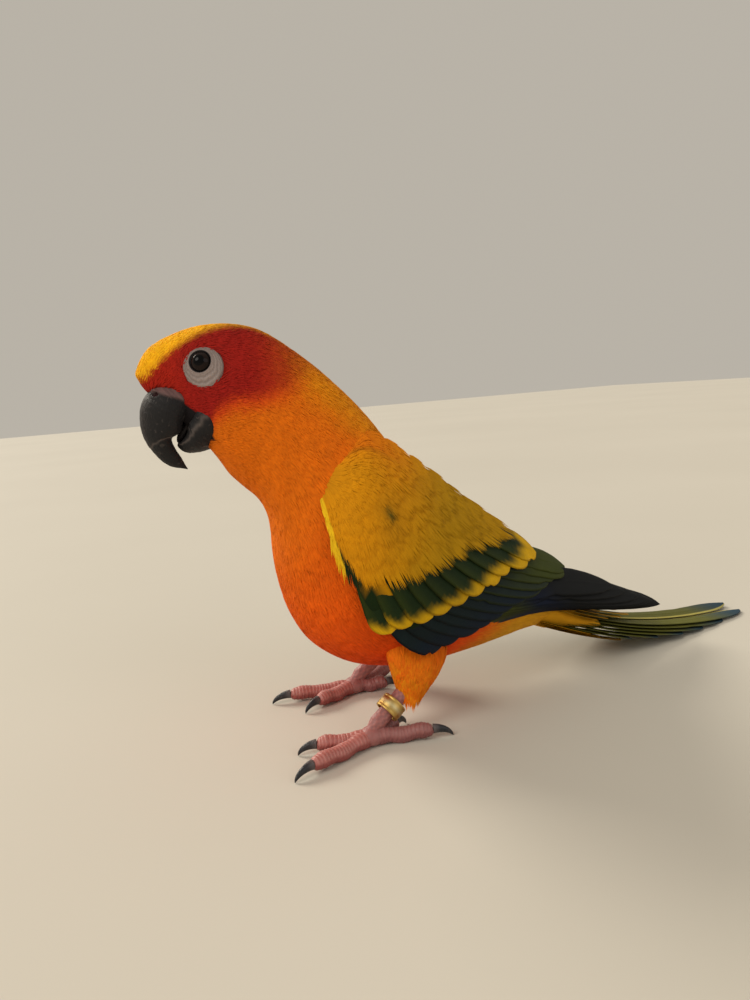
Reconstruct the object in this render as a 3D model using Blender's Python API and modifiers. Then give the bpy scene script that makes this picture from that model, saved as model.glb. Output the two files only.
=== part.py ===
"""A life-size sun conure standing on a flat floor, its tail laid along it and its head turned a little right.

Run with: blender --background --python part.py
Sizes are in millimetres and are turned into metres where a mesh is made. +Z is up, the bird
faces -X and its left side is -Y.
"""

import math

import bmesh
import bpy
import numpy as np
from mathutils import Vector

MM = 0.001
GAP = 0.3
LEFT, RIGHT = -1, 1
SIDES = {"left": LEFT, "right": RIGHT}

# The body is lofted through these sections. Each one stands between a point on the
# back line and a point on the front line, both in the bird's middle plane.
# Columns: back x, back z, front x, front z, half width.
BODY_SECTIONS = {
    "bill base": (-42.3, 100.5, -26.0, 85.6, 3.4),
    "face": (-44.0, 103.6, -25.9, 83.6, 4.3),
    "forehead": (-44.5, 106.7, -25.4, 81.6, 5.3),
    "brow": (-39.6, 113.0, -23.4, 77.5, 7.8),
    "crown": (-27.0, 117.3, -20.0, 73.7, 12.4),
    "hind crown": (-13.5, 116.2, -16.0, 69.5, 14.2),
    "nape": (-2.4, 109.0, -13.8, 64.5, 14.9),
    "neck": (7.0, 100.3, -13.2, 58.5, 16.0),
    "shoulder": (15.2, 91.3, -13.2, 52.0, 18.0),
    "breast": (22.8, 81.0, -12.3, 44.5, 20.3),
    "keel": (31.0, 70.5, -9.8, 35.0, 21.8),
    "belly": (40.5, 61.0, -4.2, 25.8, 21.8),
    "hip": (50.0, 52.0, 7.0, 18.0, 20.0),
    "vent": (59.5, 44.0, 23.5, 14.0, 16.5),
    "rump": (69.0, 36.5, 43.0, 13.5, 12.0),
    "tail root": (78.5, 30.0, 62.5, 15.0, 9.0),
}
BODY_ROWS = np.array(list(BODY_SECTIONS.values()))
HEAD_END, NECK_END, TORSO_END, RUMP_END = 5.3, 7.6, 13.2, 15.0
BODY_RING = 20

# The head looks a little to the bird's right, so the neck twists about an upright line.
HEAD_TURN = math.radians(-13.0)
NECK_PIVOT_X = 6.0
TURN_FROM, TURN_TO = 5.0, 9.0

EYE_SECTION, EYE_ROUND = 3.77, math.radians(55.5)
EYE_RADIUS, EYE_SUNK, LID_RADIUS, LID_THICKNESS = 3.1, 1.8, 3.2, 0.75

# Columns: culmen x, culmen z, cutting edge x, cutting edge z, half width.
UPPER_BILL_SECTIONS = (
    (-34.5, 102.6, -26.5, 98.4, 5.4),
    (-38.9, 102.4, -29.8, 96.3, 6.9),
    (-41.7, 101.1, -32.3, 94.3, 7.9),
    (-44.2, 97.6, -33.9, 92.6, 7.6),
    (-45.0, 93.0, -35.0, 89.9, 6.6),
    (-44.4, 88.6, -37.4, 88.1, 5.2),
    (-42.2, 84.2, -36.9, 85.5, 3.5),
    (-39.0, 80.9, -35.6, 82.9, 2.0),
    (-34.3, 79.2, -33.9, 79.7, 0.4),
)
# Columns: front x, front z, rear x, rear z, half width.
LOWER_BILL_SECTIONS = (
    (-26.4, 96.8, -21.0, 90.0, 7.0),
    (-29.9, 95.0, -23.8, 87.0, 8.6),
    (-32.6, 92.6, -27.2, 84.6, 8.1),
    (-33.5, 89.8, -30.6, 83.8, 6.8),
    (-35.0, 87.8, -33.7, 83.9, 4.9),
    (-36.4, 87.0, -35.9, 85.0, 2.6),
)
# Towards its tip the upper bill is keeled: narrower than an oval on the ridge side by this
# share. The lower one is a little wider on its cutting side all along. Both are squarer than
# an oval towards their cutting edges, by the shares in the second line.
UPPER_KEEL, LOWER_KEEL = 0.3, -0.15
UPPER_SQUARE, LOWER_SQUARE = 0.5, 0.65
NOSTRIL_RADIUS = 0.9

# Rails of the folded wing. Columns: back edge x, z, y, front edge x, z, y, bulge.
WING_SECTIONS = (
    (0.0, 80.5, 15.0, -4.5, 69.0, 16.8, 1.5),
    (12.0, 86.0, 13.5, -2.8, 55.0, 21.8, 5.5),
    (28.0, 76.5, 11.5, 2.0, 39.5, 24.0, 7.5),
    (44.5, 63.5, 10.0, 14.0, 27.0, 24.5, 8.0),
    (62.5, 51.0, 9.0, 37.0, 22.0, 21.5, 6.5),
    (82.0, 39.5, 8.0, 70.0, 23.5, 17.5, 4.0),
    (104.0, 28.0, 7.0, 100.0, 19.0, 13.0, 2.0),
    (128.0, 16.0, 7.0, 127.5, 13.5, 9.0, 0.4),
)
WING_ROWS = np.array(WING_SECTIONS)
WING_CORE_END, WING_CORE_ACROSS = 3.5, 6
# The wing's core narrows, sinks and changes its thickness along the rows. Columns: the row
# where a change starts, the rows it takes, and its size as a share or in millimetres.
CORE_NARROWS = (2.0, 1.5, 0.12)
CORE_SINKS = ((1.6, 1.6, 1.6), (2.5, 1.0, 0.9))
CORE_THICKNESS, CORE_THICKENS, CORE_THINS = 2.5, (0.0, 0.6, 2.5), (2.2, 1.2, 2.9)

TAIL_START = (70.5, 22.5)
TAIL_LENGTH = 106.0
TAIL_SLOPE_START, TAIL_SLOPE_END = math.radians(25.6), 0.0
# Columns: distance along the tail, half height, half width.
TAIL_CORE = ((10.0, 6.6, 8.8), (19.0, 4.2, 9.0), (29.0, 2.6, 8.4))
# One side's tail feathers, a pair of numbers being the value for the middle feather and the
# step to each next one outwards. Columns: how many, root distance, tip distance, spread in
# degrees, sideways offset, height at the root, height at the tip, width, lean.
TAIL_SETS = {
    "tail_feather": (
        6, 15.0, (106.0, -13.0), (0.2, 1.2), (3.7, 0.5), (1.6, -0.9), (1.6, -0.9), 9.0, -0.08,
    ),
    "upper_covert": (
        3, 4.0, (44.0, -7.0), (0.5, 2.0), (3.2, 1.0), (4.4, -1.0), (3.0, -0.6), 7.2, -0.12,
    ),
    "under_covert": (
        3, 4.0, (42.0, -7.0), (0.5, 2.5), (3.4, 1.0), (-5.0, 0.6), (-4.6, 0.6), 7.5, 0.12,
    ),
}
# The right middle feather lies this far above the left one.
MIDDLE_LIFT = 0.9

# Feathers are strips of this thickness. Their half widths follow shares of the widest
# place, at these shares of the way from root to tip.
VANE_THICKNESS = 0.6
VANE_ROWS = np.array([0.0, 0.3, 0.6, 0.82, 0.94, 1.0])
VANE_WIDTHS = np.array([0.55, 0.9, 1.0, 0.92, 0.66, 0.2])

# Wing feathers in tiers, from the deepest out, each tier from its lowest feather to the one
# nearest the back. Roots and the shares of the tips are given for the first and the last:
# a wing row and a share of the way across. Tip rows are given for every feather. Depths are
# how far the first and the last lie under the wing's smooth surface at root, middle and tip.
WING_TIERS = {
    "primary": dict(
        roots=((1.6, 0.88), (2.7, 0.62)), tip_shares=(0.92, 0.30), tip_rows=(6.6, 7.0, 6.8, 6.45, 6.0),
        widths=(9.0, 10.5), depths=((3.8, 7.8, 4.6), (3.2, 4.4, 1.0)),
    ),
    "secondary": dict(
        roots=((2.0, 0.80), (2.9, 0.25)), tip_shares=(0.95, 0.20),
        tip_rows=(3.55, 3.95, 4.25, 4.55, 4.85, 5.15),
        widths=(11.5, 10.5), depths=((2.9, 2.9, 2.6), (2.9, 2.9, 2.6)),
    ),
    "greater_covert": dict(
        roots=((1.5, 0.78), (2.7, 0.22)), tip_shares=(0.93, 0.18),
        tip_rows=(2.75, 3.0, 3.25, 3.55, 3.85, 4.15, 4.45),
        widths=(9.5, 10.0), depths=((1.6, 1.5, 1.3), (1.6, 1.5, 1.3)),
    ),
    "median_covert": dict(
        roots=((1.0, 0.75), (2.0, 0.20)), tip_shares=(0.90, 0.16),
        tip_rows=(1.95, 2.2, 2.45, 2.7, 3.0, 3.25, 3.55),
        widths=(9.0, 9.5), depths=((0.4, 0.2, 0.0), (0.4, 0.2, 0.0)),
    ),
}
FEATHER_CLEARANCE = 0.95

# The right foot stands a little behind the left. Ankle and palm: x, distance out, z.
STEP_BACK = {LEFT: 0.0, RIGHT: 12.0}
ANKLE, PALM = (15.0, 17.0, 12.5), (2.5, 18.0, 4.0)
# Columns: x, distance out, z, half length, half width, share of the step back.
THIGH_SECTIONS = (
    (23.0, 11.5, 25.5, 11.0, 5.0, 0.3),
    (21.0, 13.6, 21.0, 10.0, 5.2, 0.6),
    (18.5, 16.0, 16.5, 7.5, 4.8, 0.85),
    (16.6, 17.0, 11.8, 4.4, 3.4, 1.0),
)
THIGH_SLANT = (0.94, 0.0, -0.34)
SHANK_RADIUS, TOE_RADIUS = 2.3, 2.3
# Columns: heading from straight ahead (degrees, outwards positive), length, claw length.
TOES = {
    "outer_front": (16.0, 20.5, 8.0),
    "inner_front": (-17.0, 15.0, 7.0),
    "outer_rear": (158.0, 17.5, 7.5),
    "inner_rear": (202.0, 11.0, 6.0),
}
CLAW_TURN, CLAW_RADIUS, CLAW_TIP_HEIGHT = math.radians(80.0), 1.35, 0.2
RING_INNER, RING_OUTER, RING_HEIGHT, RING_PLACE = 3.0, 3.7, 4.0, 0.42


def blended(rows, at):
    """Rows of a table read at fractional row numbers, on a smooth curve through the rows."""
    rows = np.asarray(rows, float)
    at = np.clip(np.atleast_1d(np.asarray(at, float)), 0, len(rows) - 1)
    low = np.minimum(at.astype(int), len(rows) - 2)
    u = (at - low)[:, None]
    padded = np.vstack([2 * rows[0] - rows[1], rows, 2 * rows[-1] - rows[-2]])
    a, b, c, d = (padded[low + k] for k in range(4))
    return b + 0.5 * u * (c - a + u * (2 * a - 5 * b + 4 * c - d + u * (3 * (b - c) + d - a)))


def smooth_step(x):
    """0 below 0, 1 above 1, and an even rise between."""
    x = np.clip(x, 0, 1)
    return x * x * (3 - 2 * x)


def eased(x, start, length, size):
    """A change of some size that starts at x = start and takes a length."""
    return size * smooth_step((x - start) / length)


def unit(v):
    return v / np.linalg.norm(v, axis=-1, keepdims=True)


def turn_head(points, section):
    """Points of the body at these section numbers, turned about the neck's upright line."""
    angle = HEAD_TURN * (1 - smooth_step((section - TURN_FROM) / (TURN_TO - TURN_FROM)))
    x, y, z = points[..., 0] - NECK_PIVOT_X, points[..., 1], points[..., 2]
    c, s = np.cos(angle), np.sin(angle)
    return np.stack([x * c - y * s + NECK_PIVOT_X, x * s + y * c, z], axis=-1)


def section_points(rows, around, swell=0.0, keel=0.0, square=0.0):
    """Oval rings: each row gives a back point, a front point and a half width.

    A keel makes them narrower towards the back point and wider towards the front point.
    Square, from 0 to 1 at each angle, makes their sides flatter and their ends blunter.
    """
    back, front = rows[:, None, 0:2], rows[:, None, 2:4]
    middle, half = (back + front) / 2, (back - front) / 2
    length = np.linalg.norm(half, axis=-1, keepdims=True)
    flat = middle + half * (1 + swell / length) * np.cos(around)[None, :, None]
    sideways = np.sign(np.sin(around)) * np.abs(np.sin(around)) ** (1 - square)
    y = (rows[:, None, 4] + swell) * sideways * (1 - keel * np.cos(around))
    return np.stack([flat[..., 0], y, flat[..., 1]], axis=-1)


def body_points(section, around, swell=0.0):
    """Body surface. Around is 0 at the back line, a quarter turn at the right side."""
    section, around = np.atleast_1d(section), np.atleast_1d(around)
    rings = section_points(blended(BODY_ROWS, section), around, swell)
    return turn_head(rings, section[:, None])


def full_circle(count):
    return np.arange(count) * 2 * math.pi / count


def mesh_object(name, points, faces):
    """A mesh object from points in millimetres, with its normals made to face out."""
    mesh = bpy.data.meshes.new(name)
    mesh.from_pydata((np.asarray(points).reshape(-1, 3) * MM).tolist(), [], faces)
    corners = np.array([v.co for v in mesh.vertices])
    mesh.calc_loop_triangles()
    triangles = corners[np.array([t.vertices for t in mesh.loop_triangles])]
    if np.linalg.det(triangles).sum() < 0:
        mesh.flip_normals()
    made = bpy.data.objects.new(name, mesh)
    bpy.context.scene.collection.objects.link(made)
    return made


def loft(name, rings):
    """Closed solid through equal rings, as triangles, with a point at the middle of each end."""
    rings = np.asarray(rings, float)
    count, around = rings.shape[:2]
    faces = []
    for i in range(count - 1):
        for j in range(around):
            a, b = i * around + j, i * around + (j + 1) % around
            faces += [(a, b, b + around), (a, b + around, a + around)]
    points = list(rings.reshape(-1, 3)) + [rings[0].mean(axis=0), rings[-1].mean(axis=0)]
    first, last = count * around, count * around + 1
    top = (count - 1) * around
    for j in range(around):
        k = (j + 1) % around
        faces += [(first, k, j), (last, top + j, top + k)]
    return mesh_object(name, points, faces)


def apply_modifiers(obj):
    """The object with its modifiers applied, its mesh replaced by the evaluated one."""
    graph = bpy.context.evaluated_depsgraph_get()
    mesh = bpy.data.meshes.new_from_object(obj.evaluated_get(graph))
    obj.modifiers.clear()
    obj.data = mesh
    return obj


def keep_largest(obj):
    """Drops every closed surface but the one with the largest box, cavities included."""
    bm = bmesh.new()
    bm.from_mesh(obj.data)
    left, shells = set(bm.faces), []
    while left:
        shell, queue = set(), [left.pop()]
        while queue:
            face = queue.pop()
            shell.add(face)
            for edge in face.edges:
                for other in edge.link_faces:
                    if other in left:
                        left.discard(other)
                        queue.append(other)
        shells.append(shell)

    def box_size(shell):
        corners = np.array([v.co for face in shell for v in face.verts])
        return np.prod(corners.max(axis=0) - corners.min(axis=0))

    shells.sort(key=box_size)
    for shell in shells[:-1]:
        bmesh.ops.delete(bm, geom=list(shell), context="FACES")
    bm.to_mesh(obj.data)
    bm.free()
    return obj


def boolean(obj, others, operation):
    """Joins or cuts the object with others in one step, and removes them."""
    group = bpy.data.collections.new(obj.name + " tools")
    bpy.context.scene.collection.children.link(group)
    for other in others:
        bpy.context.scene.collection.objects.unlink(other)
        group.objects.link(other)
    step = obj.modifiers.new(operation.title(), "BOOLEAN")
    step.operation = operation
    step.operand_type = "COLLECTION"
    step.collection = group
    step.solver = "MANIFOLD"
    apply_modifiers(obj)
    for other in others:
        bpy.data.objects.remove(other)
    bpy.data.collections.remove(group)
    return keep_largest(obj)


def ball(name, centre, radius, segments=16):
    bpy.ops.mesh.primitive_uv_sphere_add(
        segments=segments, ring_count=segments // 2, radius=radius * MM,
        location=np.asarray(centre) * MM,
    )
    made = bpy.context.object
    made.name = name
    return made


def body_part(name, start, end, rows, swell=0.0):
    """One length of the body between two section numbers, half a gap short at each cut."""
    section = np.linspace(start, end, rows)
    length = np.linalg.norm(
        np.diff(body_points(section[[0, 1, -2, -1]], np.zeros(1)).mean(axis=1), axis=0), axis=1
    )
    if start > 0:
        section[0] += 0.5 * GAP * (section[1] - section[0]) / length[0] * 1.6
    section[-1] -= 0.5 * GAP * (section[-1] - section[-2]) / length[-1] * 1.6
    return loft(name, body_points(section, full_circle(BODY_RING), swell))


def body_cutter(name, swell):
    """The whole body swollen by a clearance, to cut what lies against it."""
    section = np.linspace(0, RUMP_END, 36)
    return loft(name, body_points(section, full_circle(BODY_RING), swell))


def eye_frame(side):
    """The surface point at the eye, and the way out from the head there."""
    around = EYE_ROUND * side
    step = 0.02
    place = body_points(EYE_SECTION, around)[0, 0]
    along = body_points(EYE_SECTION + step, around)[0, 0] - place
    across = body_points(EYE_SECTION, around + step)[0, 0] - place
    out = unit(np.cross(along, across))
    middle = body_points(EYE_SECTION, full_circle(8))[0].mean(axis=0)
    return place, out * np.sign(out @ (place - middle))


def facing(direction):
    """Turning angles that point an object's own Z along a direction."""
    return Vector(direction).to_track_quat("Z", "Y").to_euler()


def ring_frame(axis):
    """Two directions at right angles to an axis."""
    helper = np.array([0.0, 0.0, 1.0]) if abs(axis[2]) < 0.9 else np.array([1.0, 0.0, 0.0])
    first = unit(np.cross(axis, helper))
    return first, np.cross(axis, first)


def tube(name, centres, radii, sides=8, flat_floor=False):
    """A round tube through points, with a radius at each, its floor side kept at z 0 where asked."""
    centres = np.asarray(centres, float)
    tangents = unit(np.gradient(centres, axis=0))
    angles = full_circle(sides) + math.pi / sides
    rings = []
    for centre, tangent, radius in zip(centres, tangents, radii):
        first, second = ring_frame(tangent)
        spokes = np.outer(np.cos(angles), first) + np.outer(np.sin(angles), second)
        rings.append(centre + radius * spokes)
    rings = np.array(rings)
    if flat_floor:
        rings[..., 2] = np.maximum(rings[..., 2], 0.0)
    return loft(name, rings)


def make_head():
    head = body_part("head", 0.0, HEAD_END, 12)
    joined = []
    cutters = []
    for side in (LEFT, RIGHT):
        place, out = eye_frame(side)
        bpy.ops.mesh.primitive_torus_add(
            major_radius=LID_RADIUS * MM, minor_radius=LID_THICKNESS * MM,
            major_segments=16, minor_segments=6, location=(place - out * 0.2) * MM,
            rotation=facing(out),
        )
        joined.append(bpy.context.object)
        cutters.append(ball("socket", place - out * EYE_SUNK, EYE_RADIUS + GAP, 18))
    for sections, steps, around in ((UPPER_BILL_SECTIONS, 13, 14), (LOWER_BILL_SECTIONS, 8, 12)):
        rings = bill_rings(sections, steps, around, GAP)
        rings[0] -= GAP * unit(rings[1].mean(axis=0) - rings[0].mean(axis=0))
        cutters.append(loft("bill socket", rings))
    boolean(head, joined, "UNION")
    boolean(head, cutters, "DIFFERENCE")
    for name, side in SIDES.items():
        place, out = eye_frame(side)
        ball(f"eye_{name}", place - out * EYE_SUNK, EYE_RADIUS, 16)


def bill_rings(sections, steps, around=14, swell=0.0):
    """Rings of the upper or the lower bill from its base in the head to its tip."""
    at, angles = np.linspace(0, len(sections) - 1, steps), full_circle(around)
    if sections is UPPER_BILL_SECTIONS:
        keel = UPPER_KEEL * smooth_step((at - 1) / 3)[:, None]
        square = UPPER_SQUARE * (1 - np.cos(angles)) / 2
    else:
        keel = LOWER_KEEL
        square = LOWER_SQUARE * (1 + np.cos(angles)) / 2
    rings = section_points(blended(sections, at), angles, swell, keel, square)
    return turn_head(rings, np.zeros((steps, 1)))


def make_bill():
    upper = loft("bill_upper", bill_rings(UPPER_BILL_SECTIONS, 13))
    nostrils = []
    for side in (LEFT, RIGHT):
        place = bill_rings(UPPER_BILL_SECTIONS, len(UPPER_BILL_SECTIONS), 16)[2, 2 * side]
        nostrils.append(ball("nostril", place, NOSTRIL_RADIUS, 8))
    boolean(upper, nostrils, "DIFFERENCE")
    loft("bill_lower", bill_rings(LOWER_BILL_SECTIONS, 8, 12))


def wing_point(length, across, side, lift=0.0):
    """Outer wing surface at a row number and a share of the way from back edge to front edge."""
    length, across = np.broadcast_arrays(np.atleast_1d(length).astype(float), np.atleast_1d(across))

    def surface(s, t):
        rows = blended(WING_ROWS, s)
        back = rows[:, [0, 2, 1]]
        front = rows[:, [3, 5, 4]]
        flat = back + (front - back) * t[:, None]
        flat[:, 1] += rows[:, 6] * np.sin(math.pi * np.clip(t, 0, 1))
        return flat

    step = 0.01
    place = surface(length, across)
    along = surface(length + step, across) - surface(length - step, across)
    over = surface(length, across + step) - surface(length, across - step)
    out = unit(np.cross(over, along))
    out *= np.sign(out[:, 1:2] + 0.2 * out[:, 2:3])
    place = place + out * np.asarray(lift, float).reshape(-1, 1)
    scale = np.array([1.0, side, 1.0])
    return place * scale, out * scale


def vane(name, centres, normals, width, raised, lean):
    """A flat feather: a strip along its shaft, its faces split into triangles alike on both sides.

    Raised is the direction of the edge that lies over the next feather, lean how steeply it rises.
    """
    tangents = unit(np.gradient(centres, axis=0))
    across = unit(np.cross(tangents, normals))
    across *= np.sign((across * raised).sum(axis=-1, keepdims=True))
    up = unit(normals - tangents * (normals * tangents).sum(axis=-1, keepdims=True))
    lean = np.broadcast_to(lean, len(centres))[:, None]
    across, up = across * np.cos(lean) + up * np.sin(lean), up * np.cos(lean) - across * np.sin(lean)
    half = across * (width / 2 * VANE_WIDTHS)[:, None]
    rise = up * VANE_THICKNESS / 2
    edges = (-half + rise, half + rise, half - rise, -half - rise)
    corners = np.stack([centres + edge for edge in edges], axis=1)
    faces = [(0, 1, 2), (0, 2, 3)]
    for i in range(len(centres) - 1):
        a = 4 * i
        b = a + 4
        faces += [(a, b + 1, a + 1), (a, b, b + 1)]
        faces += [(a + 3, a + 2, b + 2), (a + 3, b + 2, b + 3)]
        faces += [(a + 1, b + 1, b + 2), (a + 1, b + 2, a + 2)]
        faces += [(a, a + 3, b + 3), (a, b + 3, b)]
    end = 4 * (len(centres) - 1)
    faces += [(end, end + 2, end + 1), (end, end + 3, end + 2)]
    return mesh_object(name, corners, faces)


def wing_vanes(side):
    """Every feather of one folded wing, tier by tier, each lying a little over the one below it."""
    made = []
    for tier, plan in WING_TIERS.items():
        count = len(plan["tip_rows"])
        u = np.linspace(0, 1, count)[:, None]
        first, last = np.array(plan["roots"])
        roots = first + (last - first) * u
        first, last = plan["tip_shares"]
        tips = np.column_stack([plan["tip_rows"], first + (last - first) * u])
        way = roots[:, None] + (tips - roots)[:, None] * VANE_ROWS[:, None]
        first, last = (np.interp(VANE_ROWS, (0.0, 0.4, 1.0), depth) for depth in plan["depths"])
        depth = first + (last - first) * u
        widths = np.linspace(*plan["widths"], count)
        places, normals = wing_point(way[..., 0].ravel(), way[..., 1].ravel(), side, -depth.ravel())
        places, normals = (a.reshape(count, len(VANE_ROWS), 3) for a in (places, normals))
        apart = np.gradient(places, axis=0)
        spacing = np.linalg.norm(apart, axis=-1)
        lean = np.clip(FEATHER_CLEARANCE / spacing, 0.0, 0.22) * (tier != "primary")
        for i in range(count):
            made.append(vane(f"{tier}_{i}", places[i], normals[i], widths[i], -apart[i], lean[i]))
    return made


def make_wing(name, side):
    """The wing's fleshy core cut to lie on the body, with its feathers joined on."""
    rings = []
    for s in np.linspace(0.0, WING_CORE_END, 8):
        narrow = eased(s, *CORE_NARROWS)
        share = np.linspace(narrow, 1.0 - narrow, WING_CORE_ACROSS)
        sunk = -sum(eased(s, *change) for change in CORE_SINKS)
        deep = sunk - (CORE_THICKNESS + eased(s, *CORE_THICKENS) - eased(s, *CORE_THINS))
        outer, _ = wing_point(s, share, side, sunk)
        inner, _ = wing_point(s, share[::-1], side, deep)
        rings.append(np.vstack([outer, inner]))
    wing = loft(f"wing_{name}", rings)
    boolean(wing, wing_vanes(side), "UNION")
    boolean(wing, [body_cutter("body clearance", GAP)], "DIFFERENCE")
    return wing


def tail_frame(distance):
    """Centre line of the tail: it starts steep and flattens evenly until it lies along the floor."""
    distance = np.atleast_1d(distance).astype(float)
    bend = (TAIL_SLOPE_START - TAIL_SLOPE_END) / TAIL_LENGTH
    slope = TAIL_SLOPE_START - bend * distance
    x = TAIL_START[0] + (np.sin(TAIL_SLOPE_START) - np.sin(slope)) / bend
    z = TAIL_START[1] - (np.cos(slope) - np.cos(TAIL_SLOPE_START)) / bend
    zero = np.zeros_like(x)
    return np.stack([x, zero, z], axis=-1), np.stack([np.sin(slope), zero, np.cos(slope)], axis=-1)


def tail_vane(name, root, tip, spread, offset, lifts, width, lean, side):
    """One tail feather from a root distance to a tip distance, angled out by a spread."""
    distance = root + (tip - root) * VANE_ROWS
    centres, up = tail_frame(distance)
    centres = centres + up * (lifts[0] + (lifts[1] - lifts[0]) * VANE_ROWS)[:, None]
    centres[:, 1] += side * (offset + np.tan(spread) * (distance - root))
    return vane(name, centres, up, width, np.array([0.0, side, 0.0]), lean)


def tail_vanes(side):
    """Every tail feather and covert of one side."""
    made = []
    for name, (count, root, *pairs, width, lean) in TAIL_SETS.items():
        for i in range(count):
            tip, spread, offset, low, high = (first + step * i for first, step in pairs)
            raised = MIDDLE_LIFT * (name == "tail_feather" and side == RIGHT and i == 0)
            made.append(tail_vane(
                f"{name}_{i}", root, tip, math.radians(spread), offset,
                (low + raised, high + raised), width, lean, side,
            ))
    return made


def make_tail():
    """Tail core against the rump, twelve graduated tail feathers, and coverts above and below."""
    angles = full_circle(BODY_RING)
    rump = body_points([RUMP_END - 0.1, RUMP_END], angles, -GAP)
    onward = unit(rump[1].mean(axis=0) - rump[0].mean(axis=0))
    rings = [rump[1] + onward * GAP]
    for distance, tall, wide in TAIL_CORE:
        centre, up = tail_frame(distance)
        spokes = np.outer(np.cos(angles) * tall, up[0]) + np.outer(np.sin(angles) * wide, (0, 1, 0))
        rings.append(centre + spokes)
    tail = loft("tail", rings)
    boolean(tail, tail_vanes(LEFT) + tail_vanes(RIGHT), "UNION")
    return boolean(tail, [floor_cutter()], "DIFFERENCE")


def make_thigh(name, side):
    """Feathered upper leg from the belly down to the ankle."""
    rings = []
    angles = full_circle(12)
    for x, y, z, long, wide, back in THIGH_SECTIONS:
        spokes = np.outer(np.cos(angles) * long, THIGH_SLANT)
        spokes[:, 1] += np.sin(angles) * wide
        rings.append(spokes + (x + STEP_BACK[side] * back, y * side, z))
    thigh = loft(f"thigh_{name}", rings)
    ankle, palm = leg_ends(side)
    shank = tube("shank clearance", [ankle - (palm - ankle) * 0.1, palm], [SHANK_RADIUS + GAP] * 2, 10)
    return boolean(thigh, [body_cutter("belly clearance", GAP), shank], "DIFFERENCE")


def leg_ends(side):
    """The ankle and the middle of the palm of one leg."""
    out = np.array([1.0, side, 1.0])
    back = np.array([STEP_BACK[side], 0.0, 0.0])
    return np.array(ANKLE) * out + back, np.array(PALM) * out + back


def toe_path(heading, length, side):
    """Toe centre line on the floor from the palm outwards, arched over its middle joint."""
    angle = math.radians(heading) * side
    _, palm = leg_ends(side)
    u = np.linspace(0, 1, 7)
    x = palm[0] - np.cos(angle) * length * u
    y = palm[1] + np.sin(angle) * length * u
    z = 1.9 + 0.5 * np.sin(u * 2 * math.pi) ** 2 + 0.8 * u ** 6
    return np.stack([x, y, z], axis=-1)


def make_foot(name, side):
    """Shank and four toes, two ahead and two behind, with small flats on the floor."""
    ankle, palm = leg_ends(side)
    u = np.linspace(0.0, 1.05, 6)[:, None]
    centres = ankle + (palm - ankle) * u
    foot = tube(f"foot_{name}", centres, SHANK_RADIUS * np.array([1.0, 0.95, 0.95, 1.0, 1.12, 1.15]), 10)
    toes = [ball("palm", (palm[0], palm[1], 2.3), 3.3, 10)]
    for heading, length, _ in TOES.values():
        pads = np.array([0.9, 1.05, 0.9, 1.05, 0.9, 1.0, 0.72])
        toes.append(tube("toe", toe_path(heading, length, side), TOE_RADIUS * pads, 8, flat_floor=True))
    boolean(foot, toes, "UNION")
    return boolean(foot, [floor_cutter()], "DIFFERENCE")


def floor_cutter():
    """A block under the floor, which leaves a small flat wherever a part would dip below it."""
    size = 500 * MM
    bpy.ops.mesh.primitive_cube_add(size=size, location=(0, 0, -size / 2))
    return bpy.context.object


def make_claws(name, side):
    """Four hooked claws, each starting a gap beyond its toe and curving down to the floor."""
    for toe, (heading, length, claw) in TOES.items():
        path = toe_path(heading, length, side)
        onward = unit(path[-1] - path[-2])
        level = unit(onward * np.array([1.0, 1.0, 0.0]))
        radius = claw / CLAW_TURN
        turned = np.linspace(0, CLAW_TURN, 7)
        start = math.asin(onward[2])
        reach = radius * (math.sin(start) - np.sin(start - turned))
        rise = radius * (np.cos(start - turned) - math.cos(start))
        centres = path[-1] + onward * GAP + level * reach[:, None]
        centres[:, 2] += rise * (path[-1, 2] - CLAW_TIP_HEIGHT) / -rise[-1]
        tube(f"claw_{name}_{toe}", centres, CLAW_RADIUS * (1.03 - turned / CLAW_TURN) ** 0.7, 7)


def make_ring():
    """Closed band round the left shank."""
    ankle, palm = leg_ends(LEFT)
    middle = ankle + (palm - ankle) * RING_PLACE
    bpy.ops.mesh.primitive_cylinder_add(
        vertices=24, radius=RING_OUTER * MM, depth=RING_HEIGHT * MM, end_fill_type="NOTHING",
        location=middle * MM, rotation=facing(palm - ankle),
    )
    band = bpy.context.object
    band.name = "leg_band"
    wall = band.modifiers.new("Wall", "SOLIDIFY")
    wall.thickness = (RING_OUTER - RING_INNER) * MM
    wall.offset = -1
    return band


MATERIALS = {
    "head": ((0.62, 0.10, 0.02), 0.85),
    "bill": ((0.035, 0.032, 0.032), 0.45),
    "eye": ((0.01, 0.008, 0.008), 0.08),
    "neck": ((0.85, 0.27, 0.02), 0.85),
    "torso": ((0.83, 0.20, 0.01), 0.85),
    "rump": ((0.80, 0.33, 0.02), 0.85),
    "wing": ((0.70, 0.45, 0.02), 0.75),
    "tail": ((0.20, 0.24, 0.04), 0.70),
    "thigh": ((0.83, 0.30, 0.01), 0.85),
    "foot": ((0.62, 0.32, 0.30), 0.65),
    "claw": ((0.06, 0.06, 0.065), 0.35),
    "leg_band": ((0.75, 0.60, 0.25), 0.35),
}


def shade(obj):
    """Smooth shading, with edges left sharp where faces meet at a steep angle."""
    obj.data.shade_smooth()
    obj.data.set_sharp_from_angle(angle=math.radians(35.0))


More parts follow.
